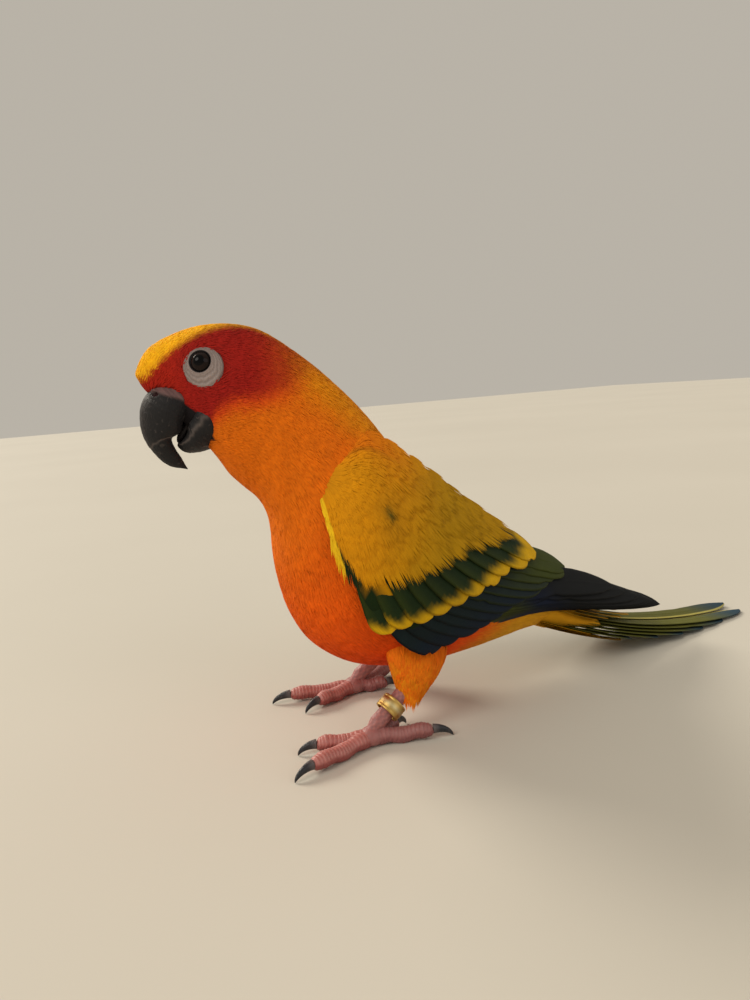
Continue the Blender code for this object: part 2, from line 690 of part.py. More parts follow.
def paint(obj):
    """Gives an object the material named by the start of its name."""
    key = next(k for k in MATERIALS if obj.name.startswith(k))
    material = bpy.data.materials.get(key)
    if material is None:
        colour, roughness = MATERIALS[key]
        material = bpy.data.materials.new(key)
        material.use_nodes = True
        shader = material.node_tree.nodes["Principled BSDF"]
        shader.inputs["Base Color"].default_value = (*colour, 1.0)
        shader.inputs["Roughness"].default_value = roughness
        shader.inputs["Metallic"].default_value = 1.0 if key == "leg_band" else 0.0
    obj.data.materials.clear()
    obj.data.materials.append(material)


def centre_on_floor(objects):
    """Moves everything so that the middle of its box is over the origin and its lowest point is at z 0."""
    corners = np.array([obj.matrix_world @ v.co for obj in objects for v in obj.data.vertices])
    low, high = corners.min(axis=0), corners.max(axis=0)
    shift = (-(low[0] + high[0]) / 2, -(low[1] + high[1]) / 2, -low[2])
    for obj in objects:
        obj.location = obj.location + type(obj.location)(shift)
    print("shift in mm:", [round(float(s) / MM, 3) for s in shift])


def main():
    for obj in list(bpy.data.objects):
        bpy.data.objects.remove(obj)
    for collection in list(bpy.data.collections):
        bpy.data.collections.remove(collection)
    make_head()
    make_bill()
    body_part("neck", HEAD_END, NECK_END, 5)
    body_part("torso", NECK_END, TORSO_END, 9)
    body_part("rump", TORSO_END, RUMP_END, 5)
    for name, side in SIDES.items():
        make_wing(name, side)
        make_thigh(name, side)
        make_foot(name, side)
        make_claws(name, side)
    make_tail()
    make_ring()
    bpy.context.view_layer.update()
    parts = bpy.data.collections.new("sun conure")
    bpy.context.scene.collection.children.link(parts)
    made = list(bpy.context.scene.collection.objects)
    for obj in made:
        bpy.context.scene.collection.objects.unlink(obj)
        parts.objects.link(obj)
        paint(obj)
        shade(obj)
    centre_on_floor(made)


main()
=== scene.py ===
# %% [markdown]
# A life-size sun conure, feather by feather. The real bird is a small parrot of about 110 grams:
# red face, golden crown and wings, orange breast, green and blue flight feathers. Its looks could
# come from paint on a smooth body, but feathers catch the light one by one, so this lesson lays
# thin feathers over one skin and gives skin and feathers the same markings.
# The solid model is loaded first as a fixed frame, and every piece below is placed by it.

# %% Load the frame and keep its box
import math

import bpy
import numpy as np
from mathutils import Matrix, Vector
from mathutils.bvhtree import BVHTree
from mathutils.kdtree import KDTree


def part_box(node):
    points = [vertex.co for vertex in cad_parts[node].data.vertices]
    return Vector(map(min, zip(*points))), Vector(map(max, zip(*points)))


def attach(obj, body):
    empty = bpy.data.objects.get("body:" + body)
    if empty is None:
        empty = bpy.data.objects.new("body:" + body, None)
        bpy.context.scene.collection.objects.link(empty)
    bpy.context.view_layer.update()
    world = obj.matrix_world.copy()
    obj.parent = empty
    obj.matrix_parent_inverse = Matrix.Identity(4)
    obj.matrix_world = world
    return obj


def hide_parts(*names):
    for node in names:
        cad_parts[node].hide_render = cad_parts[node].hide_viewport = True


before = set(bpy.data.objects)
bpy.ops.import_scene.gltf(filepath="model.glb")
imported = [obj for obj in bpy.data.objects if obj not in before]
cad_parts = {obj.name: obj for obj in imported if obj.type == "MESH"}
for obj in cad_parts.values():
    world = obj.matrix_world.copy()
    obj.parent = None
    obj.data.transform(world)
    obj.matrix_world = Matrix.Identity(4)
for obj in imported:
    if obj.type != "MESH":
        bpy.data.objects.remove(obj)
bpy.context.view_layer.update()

# %% [markdown]
# The body is a loft: oval rings between a back line and a front line in the bird's middle plane.
# A sculpted mesh would do too, but with a formula every feather can ask where the skin is, which
# way is backwards and which way is out. Sizes are millimetres until a mesh is made.

# %% Curves through tables
MM = 0.001
LEFT, RIGHT = -1, 1
SIDES = {"left": LEFT, "right": RIGHT}
random = np.random.default_rng(20)


def blended(rows, at):
    """Rows read at fractional row numbers: a cubic through each row, its slope half the step between neighbours."""
    rows = np.asarray(rows, float)
    at = np.asarray(at, float)
    low = np.clip(np.floor(at).astype(int), 0, len(rows) - 2)
    u = (at - low)[..., None]
    padded = np.vstack([2 * rows[0] - rows[1], rows, 2 * rows[-1] - rows[-2]])
    a, b, c, d = (padded[low + k] for k in range(4))
    return b + 0.5 * u * (c - a + u * (2 * a - 5 * b + 4 * c - d + u * (3 * (b - c) + d - a)))


def smooth_step(x):
    """0 below 0, 1 above 1, three x squared less two x cubed between."""
    x = np.clip(x, 0, 1)
    return x * x * (3 - 2 * x)


def unit(v):
    """Vectors divided by their lengths."""
    return v / np.maximum(np.linalg.norm(v, axis=-1, keepdims=True), 1e-12)


def dot(a, b):
    """Sum of products along the last axis."""
    return (a * b).sum(axis=-1)


# %% The body's sections
# Columns: back x, back z, front x, front z, half width.
BODY_SECTIONS = {
    "bill base": (-42.3, 100.5, -26.0, 85.6, 3.4),
    "face": (-44.0, 103.6, -25.9, 83.6, 4.3),
    "forehead": (-44.5, 106.7, -25.4, 81.6, 5.3),
    "brow": (-39.6, 113.0, -23.4, 77.5, 7.8),
    "crown": (-27.0, 117.3, -20.0, 73.7, 12.4),
    "hind crown": (-13.5, 116.2, -16.0, 69.5, 14.2),
    "nape": (-2.4, 109.0, -13.8, 64.5, 14.9),
    "neck": (7.0, 100.3, -13.2, 58.5, 16.0),
    "shoulder": (15.2, 91.3, -13.2, 52.0, 18.0),
    "breast": (22.8, 81.0, -12.3, 44.5, 20.3),
    "keel": (31.0, 70.5, -9.8, 35.0, 21.8),
    "belly": (40.5, 61.0, -4.2, 25.8, 21.8),
    "hip": (50.0, 52.0, 7.0, 18.0, 20.0),
    "vent": (59.5, 44.0, 23.5, 14.0, 16.5),
    "rump": (69.0, 36.5, 43.0, 13.5, 12.0),
    "tail root": (78.5, 30.0, 62.5, 15.0, 9.0),
}
BODY_ROWS = np.array(list(BODY_SECTIONS.values()))
LAST_SECTION = len(BODY_ROWS) - 1.0
HEAD_END, NECK_END, TORSO_END = 5.3, 7.6, 13.2
HEAD_TURN = math.radians(-13.0)
NECK_PIVOT_X = 6.0
TURN_FROM, TURN_TO = 5.0, 9.0


def turn_head(points, section):
    """Turned about the neck's upright line, fully ahead of one section and not at all behind another."""
    angle = HEAD_TURN * (1 - smooth_step((section - TURN_FROM) / (TURN_TO - TURN_FROM)))
    x, y, z = points[..., 0] - NECK_PIVOT_X, points[..., 1], points[..., 2]
    c, s = np.cos(angle), np.sin(angle)
    return np.stack([x * c - y * s + NECK_PIVOT_X, x * s + y * c, z], axis=-1)


def straight_body(section, around, lift=0.0):
    """Middle of the ring, plus half the back-to-front line times cosine, plus the half width times sine."""
    section, around, lift = np.broadcast_arrays(section, around, lift)
    row = blended(BODY_ROWS, section)
    middle, half = (row[..., 0:2] + row[..., 2:4]) / 2, (row[..., 0:2] - row[..., 2:4]) / 2
    length = np.linalg.norm(half, axis=-1)
    flat = middle + half * ((1 + lift / length) * np.cos(around))[..., None]
    return np.stack([flat[..., 0], (row[..., 4] + lift) * np.sin(around), flat[..., 1]], axis=-1)


def body(section, around, lift=0.0):
    """The plumage surface. Around is 0 at the back line and a quarter turn at the right side."""
    points = straight_body(section, around, lift)
    return turn_head(points, np.broadcast_to(section, points.shape[:-1]))


def frame_on(surface, p, q, lift=0.0):
    """Place, slopes along p and q, and the unit directions along, across and out, from small differences."""
    step = 0.01
    place = surface(p, q, lift)
    slope_p = (surface(p + step, q, lift) - surface(p - step, q, lift)) / (2 * step)
    slope_q = (surface(p, q + step, lift) - surface(p, q - step, lift)) / (2 * step)
    out = unit(np.cross(slope_p, slope_q))
    out = out * np.sign(dot(surface(p, q, np.asarray(lift) + 1.0) - place, out))[..., None]
    along = unit(slope_p)
    across = unit(slope_q - along * dot(slope_q, along)[..., None])
    return place, slope_p, slope_q, along, across, out


# %% Where the model's own origin is
EYE_SECTION, EYE_ROUND = 3.77, math.radians(55.5)
EYE_RADIUS, EYE_SUNK = 3.1, 1.8


def eye_frame(side):
    """The plumage surface at the eye, and the directions along the head, across it and out of it."""
    place, _, _, along, across, out = frame_on(body, np.array(EYE_SECTION), np.array(EYE_ROUND * side))
    return place, along, across * side, out


eye_low, eye_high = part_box("eye_left")
eye_place, _, _, eye_out = eye_frame(LEFT)
SHIFT = np.array((eye_low + eye_high) / 2) / MM - (eye_place - eye_out * EYE_SUNK)
print("from bird to frame, in mm:", np.round(SHIFT, 3))

# %% [markdown]
# Every feather, claw and toe is a closed tube: rings of points joined by squares, with a fan of
# triangles at each end. One function makes the faces for thousands of tubes in one go, because
# their corner numbers follow a rule.


# %% Tubes, and meshes from arrays
def closed_tubes(rings, first, last, **fields):
    """Tubes (copies, rings, around, 3) with end points, as one bundle; a field has a value for each ring point."""
    copies, count, around = rings.shape[:3]
    size = count * around + 2
    points = np.concatenate([rings.reshape(copies, -1, 3), first[:, None], last[:, None]], axis=1)
    ring, k = np.meshgrid(np.arange(count - 1), np.arange(around), indexing="ij")
    a, b = ring * around + k, ring * around + (k + 1) % around
    quads = np.stack([a, b, b + around, a + around], axis=-1).reshape(-1, 4)
    k = np.arange(around)
    after = (k + 1) % around
    top = (count - 1) * around
    base = np.stack([after, k, np.full(around, size - 2)], axis=-1)
    tip = np.stack([top + k, top + after, np.full(around, size - 1)], axis=-1)
    start = (np.arange(copies) * size)[:, None, None]
    bundle = {
        "points": points.reshape(-1, 3),
        "quads": (quads + start).reshape(-1, 4),
        "tris": (np.concatenate([base, tip]) + start).reshape(-1, 3),
    }
    for name, value in fields.items():
        value = np.broadcast_to(value, (copies, count, around, value.shape[-1]))
        ends = [value[:, [0]].mean(axis=2), value[:, [-1]].mean(axis=2)]
        flat = value.reshape(copies, -1, value.shape[-1])
        bundle[name] = np.concatenate([flat, *ends], axis=1).reshape(-1, value.shape[-1])
    return bundle


def join(bundles):
    """Several bundles as one, their corner numbers moved on by the points before them."""
    made = {}
    start = 0
    for bundle in bundles:
        for name, value in bundle.items():
            made.setdefault(name, []).append(value + start if name in ("quads", "tris") else value)
        start += len(bundle["points"])
    return {name: np.concatenate(values) for name, values in made.items()}


def triangles(bundle):
    """All faces as triangles."""
    quads = bundle["quads"]
    return np.concatenate([quads[:, [0, 1, 2]], quads[:, [0, 2, 3]], bundle["tris"]])


def mesh_object(name, bundle, material, smooth=True):
    """A mesh object at the origin from a bundle, turned right side out if its signed volume is negative."""
    points = (bundle["points"] + SHIFT) * MM
    corners = points[triangles(bundle)]
    order = slice(None, None, -1) if np.linalg.det(corners - points.mean(axis=0)).sum() < 0 else slice(None)
    faces = [bundle["quads"][:, order], bundle["tris"][:, order]]
    corner = np.concatenate([f.ravel() for f in faces])
    sizes = np.concatenate([np.full(len(f), f.shape[1]) for f in faces])
    mesh = bpy.data.meshes.new(name)
    mesh.vertices.add(len(points))
    mesh.vertices.foreach_set("co", points.astype(np.float32).ravel())
    mesh.loops.add(len(corner))
    mesh.loops.foreach_set("vertex_index", corner.astype(np.int32))
    mesh.polygons.add(len(sizes))
    mesh.polygons.foreach_set("loop_start", (np.cumsum(sizes) - sizes).astype(np.int32))
    mesh.polygons.foreach_set("use_smooth", np.full(len(sizes), smooth))
    if "colour" in bundle:
        paint = mesh.color_attributes.new("markings", "FLOAT_COLOR", "POINT")
        rgba = np.column_stack([bundle["colour"], np.ones(len(points))])
        paint.data.foreach_set("color", rgba.astype(np.float32).ravel())
    if "barb" in bundle:
        barb = mesh.attributes.new("barb", "FLOAT_VECTOR", "POINT")
        barb.data.foreach_set("vector", bundle["barb"].astype(np.float32).ravel())
    if "bake" in bundle:
        layer = mesh.uv_layers.new(name="OFBake")
        layer.data.foreach_set("uv", bundle["bake"][corner].astype(np.float32).ravel())
    mesh.update(calc_edges=True)
    mesh.materials.append(material)
    made = bpy.data.objects.new(name, mesh)
    bpy.context.scene.collection.objects.link(made)
    return made


def finish_piece(piece, slot, *nodes):
    """Rides on the one body and stands for its solids; the slot is not used."""
    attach(piece, "root")
    if nodes:
        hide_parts(*nodes)
    mesh = piece.data
    mesh.calc_loop_triangles()
    print(f"{piece.name}: {len(mesh.loop_triangles)} triangles")


# %% [markdown]
# Colours. The photograph shows the bird against the light, so its shaded side is darker than the
# feathers are. Each colour below is a named paint in everyday 0 to 255 numbers, turned into the
# linear numbers that the renderer works in.


# %% Paints
def paint(red, green, blue):
    """From 0 to 255 display numbers to linear light: the sRGB curve."""
    c = np.array([red, green, blue]) / 255
    return np.where(c < 0.04045, c / 12.92, ((c + 0.055) / 1.055) ** 2.4)


CROWN_GOLD = paint(255, 188, 18)
FACE_RED = paint(150, 22, 12)
LORE_RED = paint(168, 30, 10)
CHEEK_ORANGE = paint(206, 64, 8)
NECK_ORANGE = paint(222, 108, 2)
BREAST_ORANGE = paint(230, 88, 2)
BELLY_ORANGE = paint(218, 68, 2)
MANTLE_GOLD = paint(224, 136, 2)
THIGH_GOLD = paint(222, 140, 10)
RUMP_GOLD = paint(196, 140, 14)
VENT_YELLOW = paint(206, 146, 22)
WING_GOLD = paint(210, 138, 0)
WING_LOW = paint(176, 130, 0)
# Painted highlight along the wing's front edge.
WING_EDGE_HIGHLIGHT = paint(238, 190, 24)
OLIVE_SPOT = paint(62, 64, 10)
# Painted shade for the crease at the shoulder's edge.
CREASE_SHADE = paint(150, 66, 0)
COVERT_GREEN = paint(20, 38, 10)
COVERT_TIP = paint(206, 160, 6)
FLIGHT_TEAL = paint(12, 28, 31)
FLIGHT_OLIVE = paint(60, 68, 12)
FLIGHT_BLUE = paint(8, 22, 48)
FLIGHT_BLACK = paint(14, 17, 20)
TAIL_OLIVE = paint(92, 92, 34)
TAIL_TIP = paint(40, 62, 76)
TAIL_EDGE = paint(206, 192, 104)
MOUTH_DARK = paint(24, 20, 22)


def mix(a, b, share):
    """From a to b by a share for each point."""
    share = np.clip(share, 0, 1)[..., None]
    return a + (b - a) * share


# %% The body's markings
# The gold crown ends below at this height for each place along the head, seen from the side.
CROWN_EDGE_X = (-46.0, -41.7, -37.5, -33.0, -26.7, -20.0, -13.0, -8.0, -3.0, 4.0)
CROWN_EDGE_Z = (103.5, 104.5, 108.8, 111.9, 115.0, 116.6, 115.6, 113.0, 109.6, 104.0)
# Feathers end at this line round the bill, from the forehead back and down to the chin.
BILL_EDGE_X = (-43.5, -42.8, -40.9, -39.9, -36.2, -34.3, -31.8, -30.3, -28.9, -26.9, -26.2, -25.8)
BILL_EDGE_Z = (98.3, 99.1, 101.7, 102.0, 99.9, 98.3, 96.1, 94.7, 91.7, 88.5, 86.2, 84.5)
# The red face ends below at this height: steep behind the bill, then nearly level to the nape.
FACE_EDGE_X = (-30.0, -27.8, -25.5, -21.5, -12.6, -5.9, -1.0)
FACE_EDGE_Z = (85.0, 91.0, 95.6, 97.8, 98.4, 99.8, 104.5)


def bill_side(section, around):
    """1 on the bill's side of the feather line, seen from the side, else 0."""
    place = straight_body(section, around)
    x, z = place[..., 0], place[..., 2]
    return ((x < BILL_EDGE_X[-1]) & (z < np.interp(x, BILL_EDGE_X, BILL_EDGE_Z)) & (z > 86.4)).astype(float)


def body_colour(section, around, mouth=1.0):
    """Gold above the crown's edge, red above the face's lower line, orange below, gold down the back, a dark mouth."""
    place = straight_body(section, around)
    x, z = place[..., 0], place[..., 2]
    above = z - np.interp(x, FACE_EDGE_X, FACE_EDGE_Z)
    wrapped = np.abs((around + math.pi) % (2 * math.pi) - math.pi)
    down = smooth_step((section - 6.5) / 4.5)
    colour = mix(NECK_ORANGE, BREAST_ORANGE, down)
    colour = mix(colour, BELLY_ORANGE, smooth_step((section - 10.0) / 2.5))
    colour = mix(colour, VENT_YELLOW, smooth_step((section - 13.0) / 1.6))
    back = smooth_step((math.radians(72) - wrapped) / math.radians(38))
    colour = mix(colour, MANTLE_GOLD, back * smooth_step((section - 4.6) / 1.8))
    colour = mix(colour, RUMP_GOLD, back * smooth_step((section - 12.0) / 2.0))
    head = 1 - smooth_step((section - 4.6) / 2.4)
    colour = mix(colour, CHEEK_ORANGE, smooth_step((above + 6.5) / 6.0) * head)
    colour = mix(colour, FACE_RED, smooth_step((above + 2.8) / 4.6) * head)
    lore = smooth_step((-30.0 - x) / 7.0)
    colour = mix(colour, LORE_RED, lore * head)
    colour = mix(colour, MOUTH_DARK, mouth * bill_side(section, around))
    over = z - np.interp(x, CROWN_EDGE_X, CROWN_EDGE_Z)
    colour = mix(colour, CROWN_GOLD, smooth_step((over + 1.2) / 3.2) * (1 - smooth_step((section - 5.6) / 1.2)))
    return colour


def body_bake(section, around):
    """The skin unrolled: across the sheet by the angle, down it by the section."""
    wrapped = (around / (2 * math.pi) + 0.5) % 1.0
    return np.stack([0.03 + 0.94 * wrapped, 0.03 + 0.94 * np.clip(section, 0, LAST_SECTION) / LAST_SECTION], -1)


# %% [markdown]
# Feathers grow along the skin. A strand starts sunk at the skin, steps backwards over the surface
# and rises to the plumage surface. Each body feather is a fan of such strands, so its edge is
# soft and hairy. One flat leaf a feather would need fewer faces but looks like fish scales.

# %% Strands, and fans of strands
STRAND_AT = np.array([0.0, 0.3, 0.72, 1.0])
STRAND_WIDE = np.array([1.0, 0.82])
STRAND_RIDGE = 0.11
LIFT_AT = (0.0, 0.4, 1.0)
LIFT_SHARES = np.array([np.interp(STRAND_AT, LIFT_AT, row) for row in np.eye(3)])
BAKE_PATCH = 0.003
# Spread: how far the fan opens. Base: how broad it starts. Rounding: how much shorter its sides are.
# Ragged: how unlike its strands' lengths are. Crown: how far its sides droop. Tone: how its shades vary.
# Fine: the width of a strand against the gap between strands.
VELVET = dict(spread=0.26, base=0.8, rounding=0.10, ragged=0.22, crown=0.03, tone=0.05, fine=1.6)
SOFT = dict(spread=0.20, base=0.5, rounding=0.30, ragged=0.14, crown=0.10, tone=0.045, fine=1.5)
WEBBED = dict(spread=0.05, base=0.9, rounding=0.34, ragged=0.04, crown=0.10, tone=0.03, fine=2.5)


def walk(surface, p, q, heading, step):
    """New p and q after a step in millimetres: two equations from the surface's slopes there."""
    _, slope_p, slope_q, along, across, _ = frame_on(surface, p, q)
    way = along * np.cos(heading)[..., None] + across * np.sin(heading)[..., None]
    pp, pq, qq = dot(slope_p, slope_p), dot(slope_p, slope_q), dot(slope_q, slope_q)
    wp, wq = dot(way, slope_p), dot(way, slope_q)
    scale = step / np.maximum(pp * qq - pq * pq, 1e-9)
    return p + (wp * qq - wq * pq) * scale, q + (wq * pp - wp * pq) * scale


def grow(surface, p, q, heading, length, lifts):
    """Each strand's centre, sideways and out directions, and its p and q, one step at a time."""
    found = []
    for k, share in enumerate(STRAND_AT):
        if k:
            p, q = walk(surface, p, q, heading, length * (share - STRAND_AT[k - 1]))
        place, _, _, along, across, out = frame_on(surface, p, q, lifts[..., k])
        turn = heading[..., None]
        found.append((place, across * np.cos(turn) - along * np.sin(turn), out, p, q))
    return [np.stack(values, axis=1) for values in zip(*found)]


def fans(surface, p, q, heading, length, width, blades, lifts, colour_at, bake_at, style):
    """Feathers as fans of thin pointed strands; lifts are heights at the root, at 0.4 of the length and at the tip."""
    count = len(p)
    place = np.linspace(-1, 1, blades)[None, :] + random.normal(0, 0.5 / blades, (count, blades))
    turn = heading[:, None] + place * style["spread"] + random.normal(0, 0.025, (count, blades))
    ragged = random.uniform(1 - style["ragged"], 1 + style["ragged"] / 2, (count, blades))
    long = length[:, None] * (1 - style["rounding"] * place ** 2) * ragged
    root_p, root_q = walk(
        surface, np.repeat(p, blades), np.repeat(q, blades), np.repeat(heading + math.pi / 2, blades),
        (place * (width * style["base"] / 2)[:, None]).ravel(),
    )
    height = (np.broadcast_to(lifts, (count, 3)) @ LIFT_SHARES)[:, None, :] + random.normal(0, 0.04, (count, 1, 1))
    droop = style["crown"] * place ** 2 - random.normal(0, 0.03, (count, blades))
    height = height - droop[..., None] * STRAND_AT
    centre, side, out, ring_p, ring_q = grow(
        surface, root_p, root_q, turn.ravel(), long.ravel(), height.reshape(count * blades, -1)
    )
    wide = (np.repeat(width, blades) / blades * style["fine"])[:, None] * STRAND_WIDE
    half, ridge = side[:, 1:3] * (wide / 2)[..., None], out[:, 1:3] * (wide * STRAND_RIDGE)[..., None]
    middle = centre[:, 1:3]
    rings = np.stack([middle + half, middle + ridge, middle - half], axis=2)
    tone = style["tone"]
    shade = np.repeat(1 + random.normal(0, tone, count), blades) * (1 + random.normal(0, tone, count * blades))
    # The ring near the root is darker and the one near the tip lighter: partly the feathers' duller downy bases, partly
    # painted shade deep in the coat.
    colour = colour_at(ring_p[:, 1:3], ring_q[:, 1:3]) * (shade[:, None] * (0.92, 1.04))[..., None]
    sheet = bake_at(np.repeat(p, blades), np.repeat(q, blades))[:, None, None, :]
    patch = np.stack(np.broadcast_arrays(place.ravel()[:, None, None] * 0.45, STRAND_AT[None, 1:3, None] - 0.5), -1)
    return closed_tubes(rings, centre[:, 0], centre[:, 3], colour=colour[:, :, None], bake=sheet + patch * BAKE_PATCH)


# %% Even places for feathers
def scattered(surface, p_range, q_range, spacing, tries=9):
    """Places no closer than a spacing that may vary: random places by area, kept if the cell round them is free."""
    grid_p, grid_q = np.meshgrid(np.linspace(*p_range, 160), np.linspace(*q_range, 160), indexing="ij")
    _, slope_p, slope_q, _, _, _ = frame_on(surface, grid_p, grid_q)
    area = np.linalg.norm(np.cross(slope_p, slope_q), axis=-1) / spacing(grid_p, grid_q) ** 2
    total = area.mean() * (p_range[1] - p_range[0]) * (q_range[1] - q_range[0])
    drawn = int(total * tries)
    cell = random.choice(area.size, drawn, p=area.ravel() / area.sum())
    half_p, half_q = (p_range[1] - p_range[0]) / 320, (q_range[1] - q_range[0]) / 320
    p = np.clip(grid_p.ravel()[cell] + random.uniform(-half_p, half_p, drawn), *p_range)
    q = np.clip(grid_q.ravel()[cell] + random.uniform(-half_q, half_q, drawn), *q_range)
    places, apart = surface(p, q, 0.0), spacing(p, q)
    taken, kept = {}, []
    bin_size = float(apart.max())
    for i, (place, gap) in enumerate(zip(places, apart)):
        key = tuple((place // bin_size).astype(int))
        near = [
            j for x in (-1, 0, 1) for y in (-1, 0, 1) for z in (-1, 0, 1)
            for j in taken.get((key[0] + x, key[1] + y, key[2] + z), ())
        ]
        if near and (((places[near] - place) ** 2).sum(axis=1) < gap * gap).any():
            continue
        taken.setdefault(key, []).append(i)
        kept.append(i)
    return p[kept], q[kept]


# %% [markdown]
# A thigh is a short loft from the belly to the ankle, the right one set a little back, and a wing
# is a curved sheet between its back edge and its front edge. Both answer the same question as the
# body: given two numbers and a height, where is that point?

# %% Thighs, wings and tail as surfaces
STEP_BACK = {LEFT: 0.0, RIGHT: 12.0}
# Columns: x, distance out, z, half length, half width.
THIGH_SECTIONS = (
    (23.0, 11.5, 25.5, 11.0, 5.0),
    (21.0, 13.6, 21.0, 10.0, 5.2),
    (18.5, 16.0, 16.5, 7.5, 4.8),
    (16.6, 17.0, 11.8, 4.4, 3.4),
)
THIGH_STEP = (0.3, 0.6, 0.85, 1.0)
THIGH_SLANT = (0.94, 0.0, -0.34)

# Columns: back edge x, z, y, front edge x, z, y, bulge.
WING_SECTIONS = (
    (0.0, 80.5, 15.0, -4.5, 69.0, 16.8, 1.5),
    (12.0, 86.0, 13.5, -2.8, 55.0, 21.8, 5.5),
    (28.0, 76.5, 11.5, 2.0, 39.5, 24.0, 7.5),
    (44.5, 63.5, 10.0, 14.0, 27.0, 24.5, 8.0),
    (62.5, 51.0, 9.0, 37.0, 22.0, 21.5, 6.5),
    (82.0, 39.5, 8.0, 70.0, 23.5, 17.5, 4.0),
    (104.0, 28.0, 7.0, 100.0, 19.0, 13.0, 2.0),
    (128.0, 16.0, 7.0, 127.5, 13.5, 9.0, 0.4),
)
WING_ROWS = np.array(WING_SECTIONS)

TAIL_START = (70.5, 22.5)
TAIL_LENGTH = 106.0
TAIL_SLOPE = math.radians(25.6)


def thigh(side):
    """The thigh surface: a blended centre, plus cosine along the slant, plus sine sideways."""
    rows = np.array(THIGH_SECTIONS)
    rows[:, 0] += STEP_BACK[side] * np.array(THIGH_STEP)

    def surface(p, q, lift=0.0):
        p, q, lift = np.broadcast_arrays(p, q, lift)
        row = blended(rows, p)
        centre = row[..., 0:3] * (1, side, 1)
        long = (row[..., 3] + lift) * np.cos(q)
        wide = (row[..., 4] + lift) * np.sin(q)
        return centre + long[..., None] * THIGH_SLANT + wide[..., None] * (0.0, 1.0, 0.0)

    return surface


def wing(side):
    """The folded wing's outer surface: straight across from back to front edge, plus a bulge times sine."""
    def flat(s, t):
        row = blended(WING_ROWS, s)
        back, front = row[..., [0, 2, 1]], row[..., [3, 5, 4]]
        bulge = row[..., 6] * np.sin(math.pi * np.clip(t, 0, 1))
        return back + (front - back) * t[..., None] + bulge[..., None] * (0.0, 1.0, 0.0)

    def surface(s, t, lift=0.0):
        s, t, lift = np.broadcast_arrays(np.asarray(s, float), np.asarray(t, float), lift)
        step = 0.02
        along = flat(s + step, t) - flat(s - step, t)
        over = flat(s, t + step) - flat(s, t - step)
        out = unit(np.cross(over, along))
        out = out * np.sign(out[..., 1] + 0.2 * out[..., 2])[..., None]
        return (flat(s, t) + out * lift[..., None]) * (1.0, side, 1.0)

    return surface


def tail(distance, sideways, lift=0.0):
    """The tail's middle line starts steep and flattens evenly to the floor; sideways is in millimetres."""
    distance, sideways, lift = np.broadcast_arrays(np.asarray(distance, float), sideways, lift)
    bend = TAIL_SLOPE / TAIL_LENGTH
    slope = TAIL_SLOPE - bend * distance
    x = TAIL_START[0] + (math.sin(TAIL_SLOPE) - np.sin(slope)) / bend
    z = TAIL_START[1] - (np.cos(slope) - math.cos(TAIL_SLOPE)) / bend
    return np.stack([x + np.sin(slope) * lift, sideways, z + np.cos(slope) * lift], axis=-1)


# %% [markdown]
# Materials. Feathers are dull, with a faint sheen at grazing angles and fine streaks. The markings
# come from each point's own colour, so the pattern follows the plumage and not the camera. Flight
# feathers also carry barbs: fine lines that slant away from the shaft on both sides.


# %% Node helpers and materials
def new_material(name, roughness, metallic=0.0):
    """A material with its shader, and functions to add a node and to link two sockets."""
    made = bpy.data.materials.new(name)
    made.use_nodes = True
    tree = made.node_tree
    shader = tree.nodes["Principled BSDF"]
    shader.inputs["Roughness"].default_value = roughness
    shader.inputs["Metallic"].default_value = metallic

    def node(kind, **settings):
        added = tree.nodes.new(kind)
        for key, value in settings.items():
            if key in added.inputs:
                added.inputs[key].default_value = value
            else:
                setattr(added, key, value)
        return added

    return made, shader, node, tree.links.new


def noise_on_object(node, link, scale, detail=4.0, stretch=(1, 1, 1)):
    """A noise texture on Object coordinates, stretched by a Mapping node."""
    coordinates = node("ShaderNodeTexCoord")
    mapping = node("ShaderNodeMapping")
    mapping.inputs["Scale"].default_value = stretch
    link(coordinates.outputs["Object"], mapping.inputs["Vector"])
    noise = node("ShaderNodeTexNoise", Scale=scale, Detail=detail)
    link(mapping.outputs["Vector"], noise.inputs["Vector"])
    return noise


def scaled(node, link, value, low, high):
    """A value from 0 to 1 mapped to a range."""
    made = node("ShaderNodeMapRange")
    made.inputs["To Min"].default_value = low
    made.inputs["To Max"].default_value = high
    link(value, made.inputs["Value"])
    return made.outputs["Result"]


def times(node, link, colour, factor):
    """A colour multiplied by a grey factor."""
    made = node("ShaderNodeVectorMath", operation="SCALE")
    link(colour, made.inputs[0])
    link(factor, made.inputs["Scale"])
    return made.outputs["Vector"]


def bumped(node, link, shader, height, distance, strength):
    """A bump whose depth is in millimetres."""
    bump = node("ShaderNodeBump")
    bump.inputs["Strength"].default_value = strength
    bump.inputs["Distance"].default_value = distance * MM
    link(height, bump.inputs["Height"])
    link(bump.outputs["Normal"], shader.inputs["Normal"])


def plumage_material(name, roughness=0.8):
    """Soft feathers: the markings, mottled a little by noise."""
    made, shader, node, link = new_material(name, roughness)
    shader.inputs["Specular IOR Level"].default_value = 0.18
    markings = node("ShaderNodeAttribute", attribute_name="markings")
    mottle = noise_on_object(node, link, 160.0)
    shade = scaled(node, link, mottle.outputs["Fac"], 0.9, 1.1)
    link(times(node, link, markings.outputs["Color"], shade), shader.inputs["Base Color"])
    fine = noise_on_object(node, link, 2600.0, 2.0)
    bumped(node, link, shader, fine.outputs["Fac"], 0.06, 0.3)
    return made


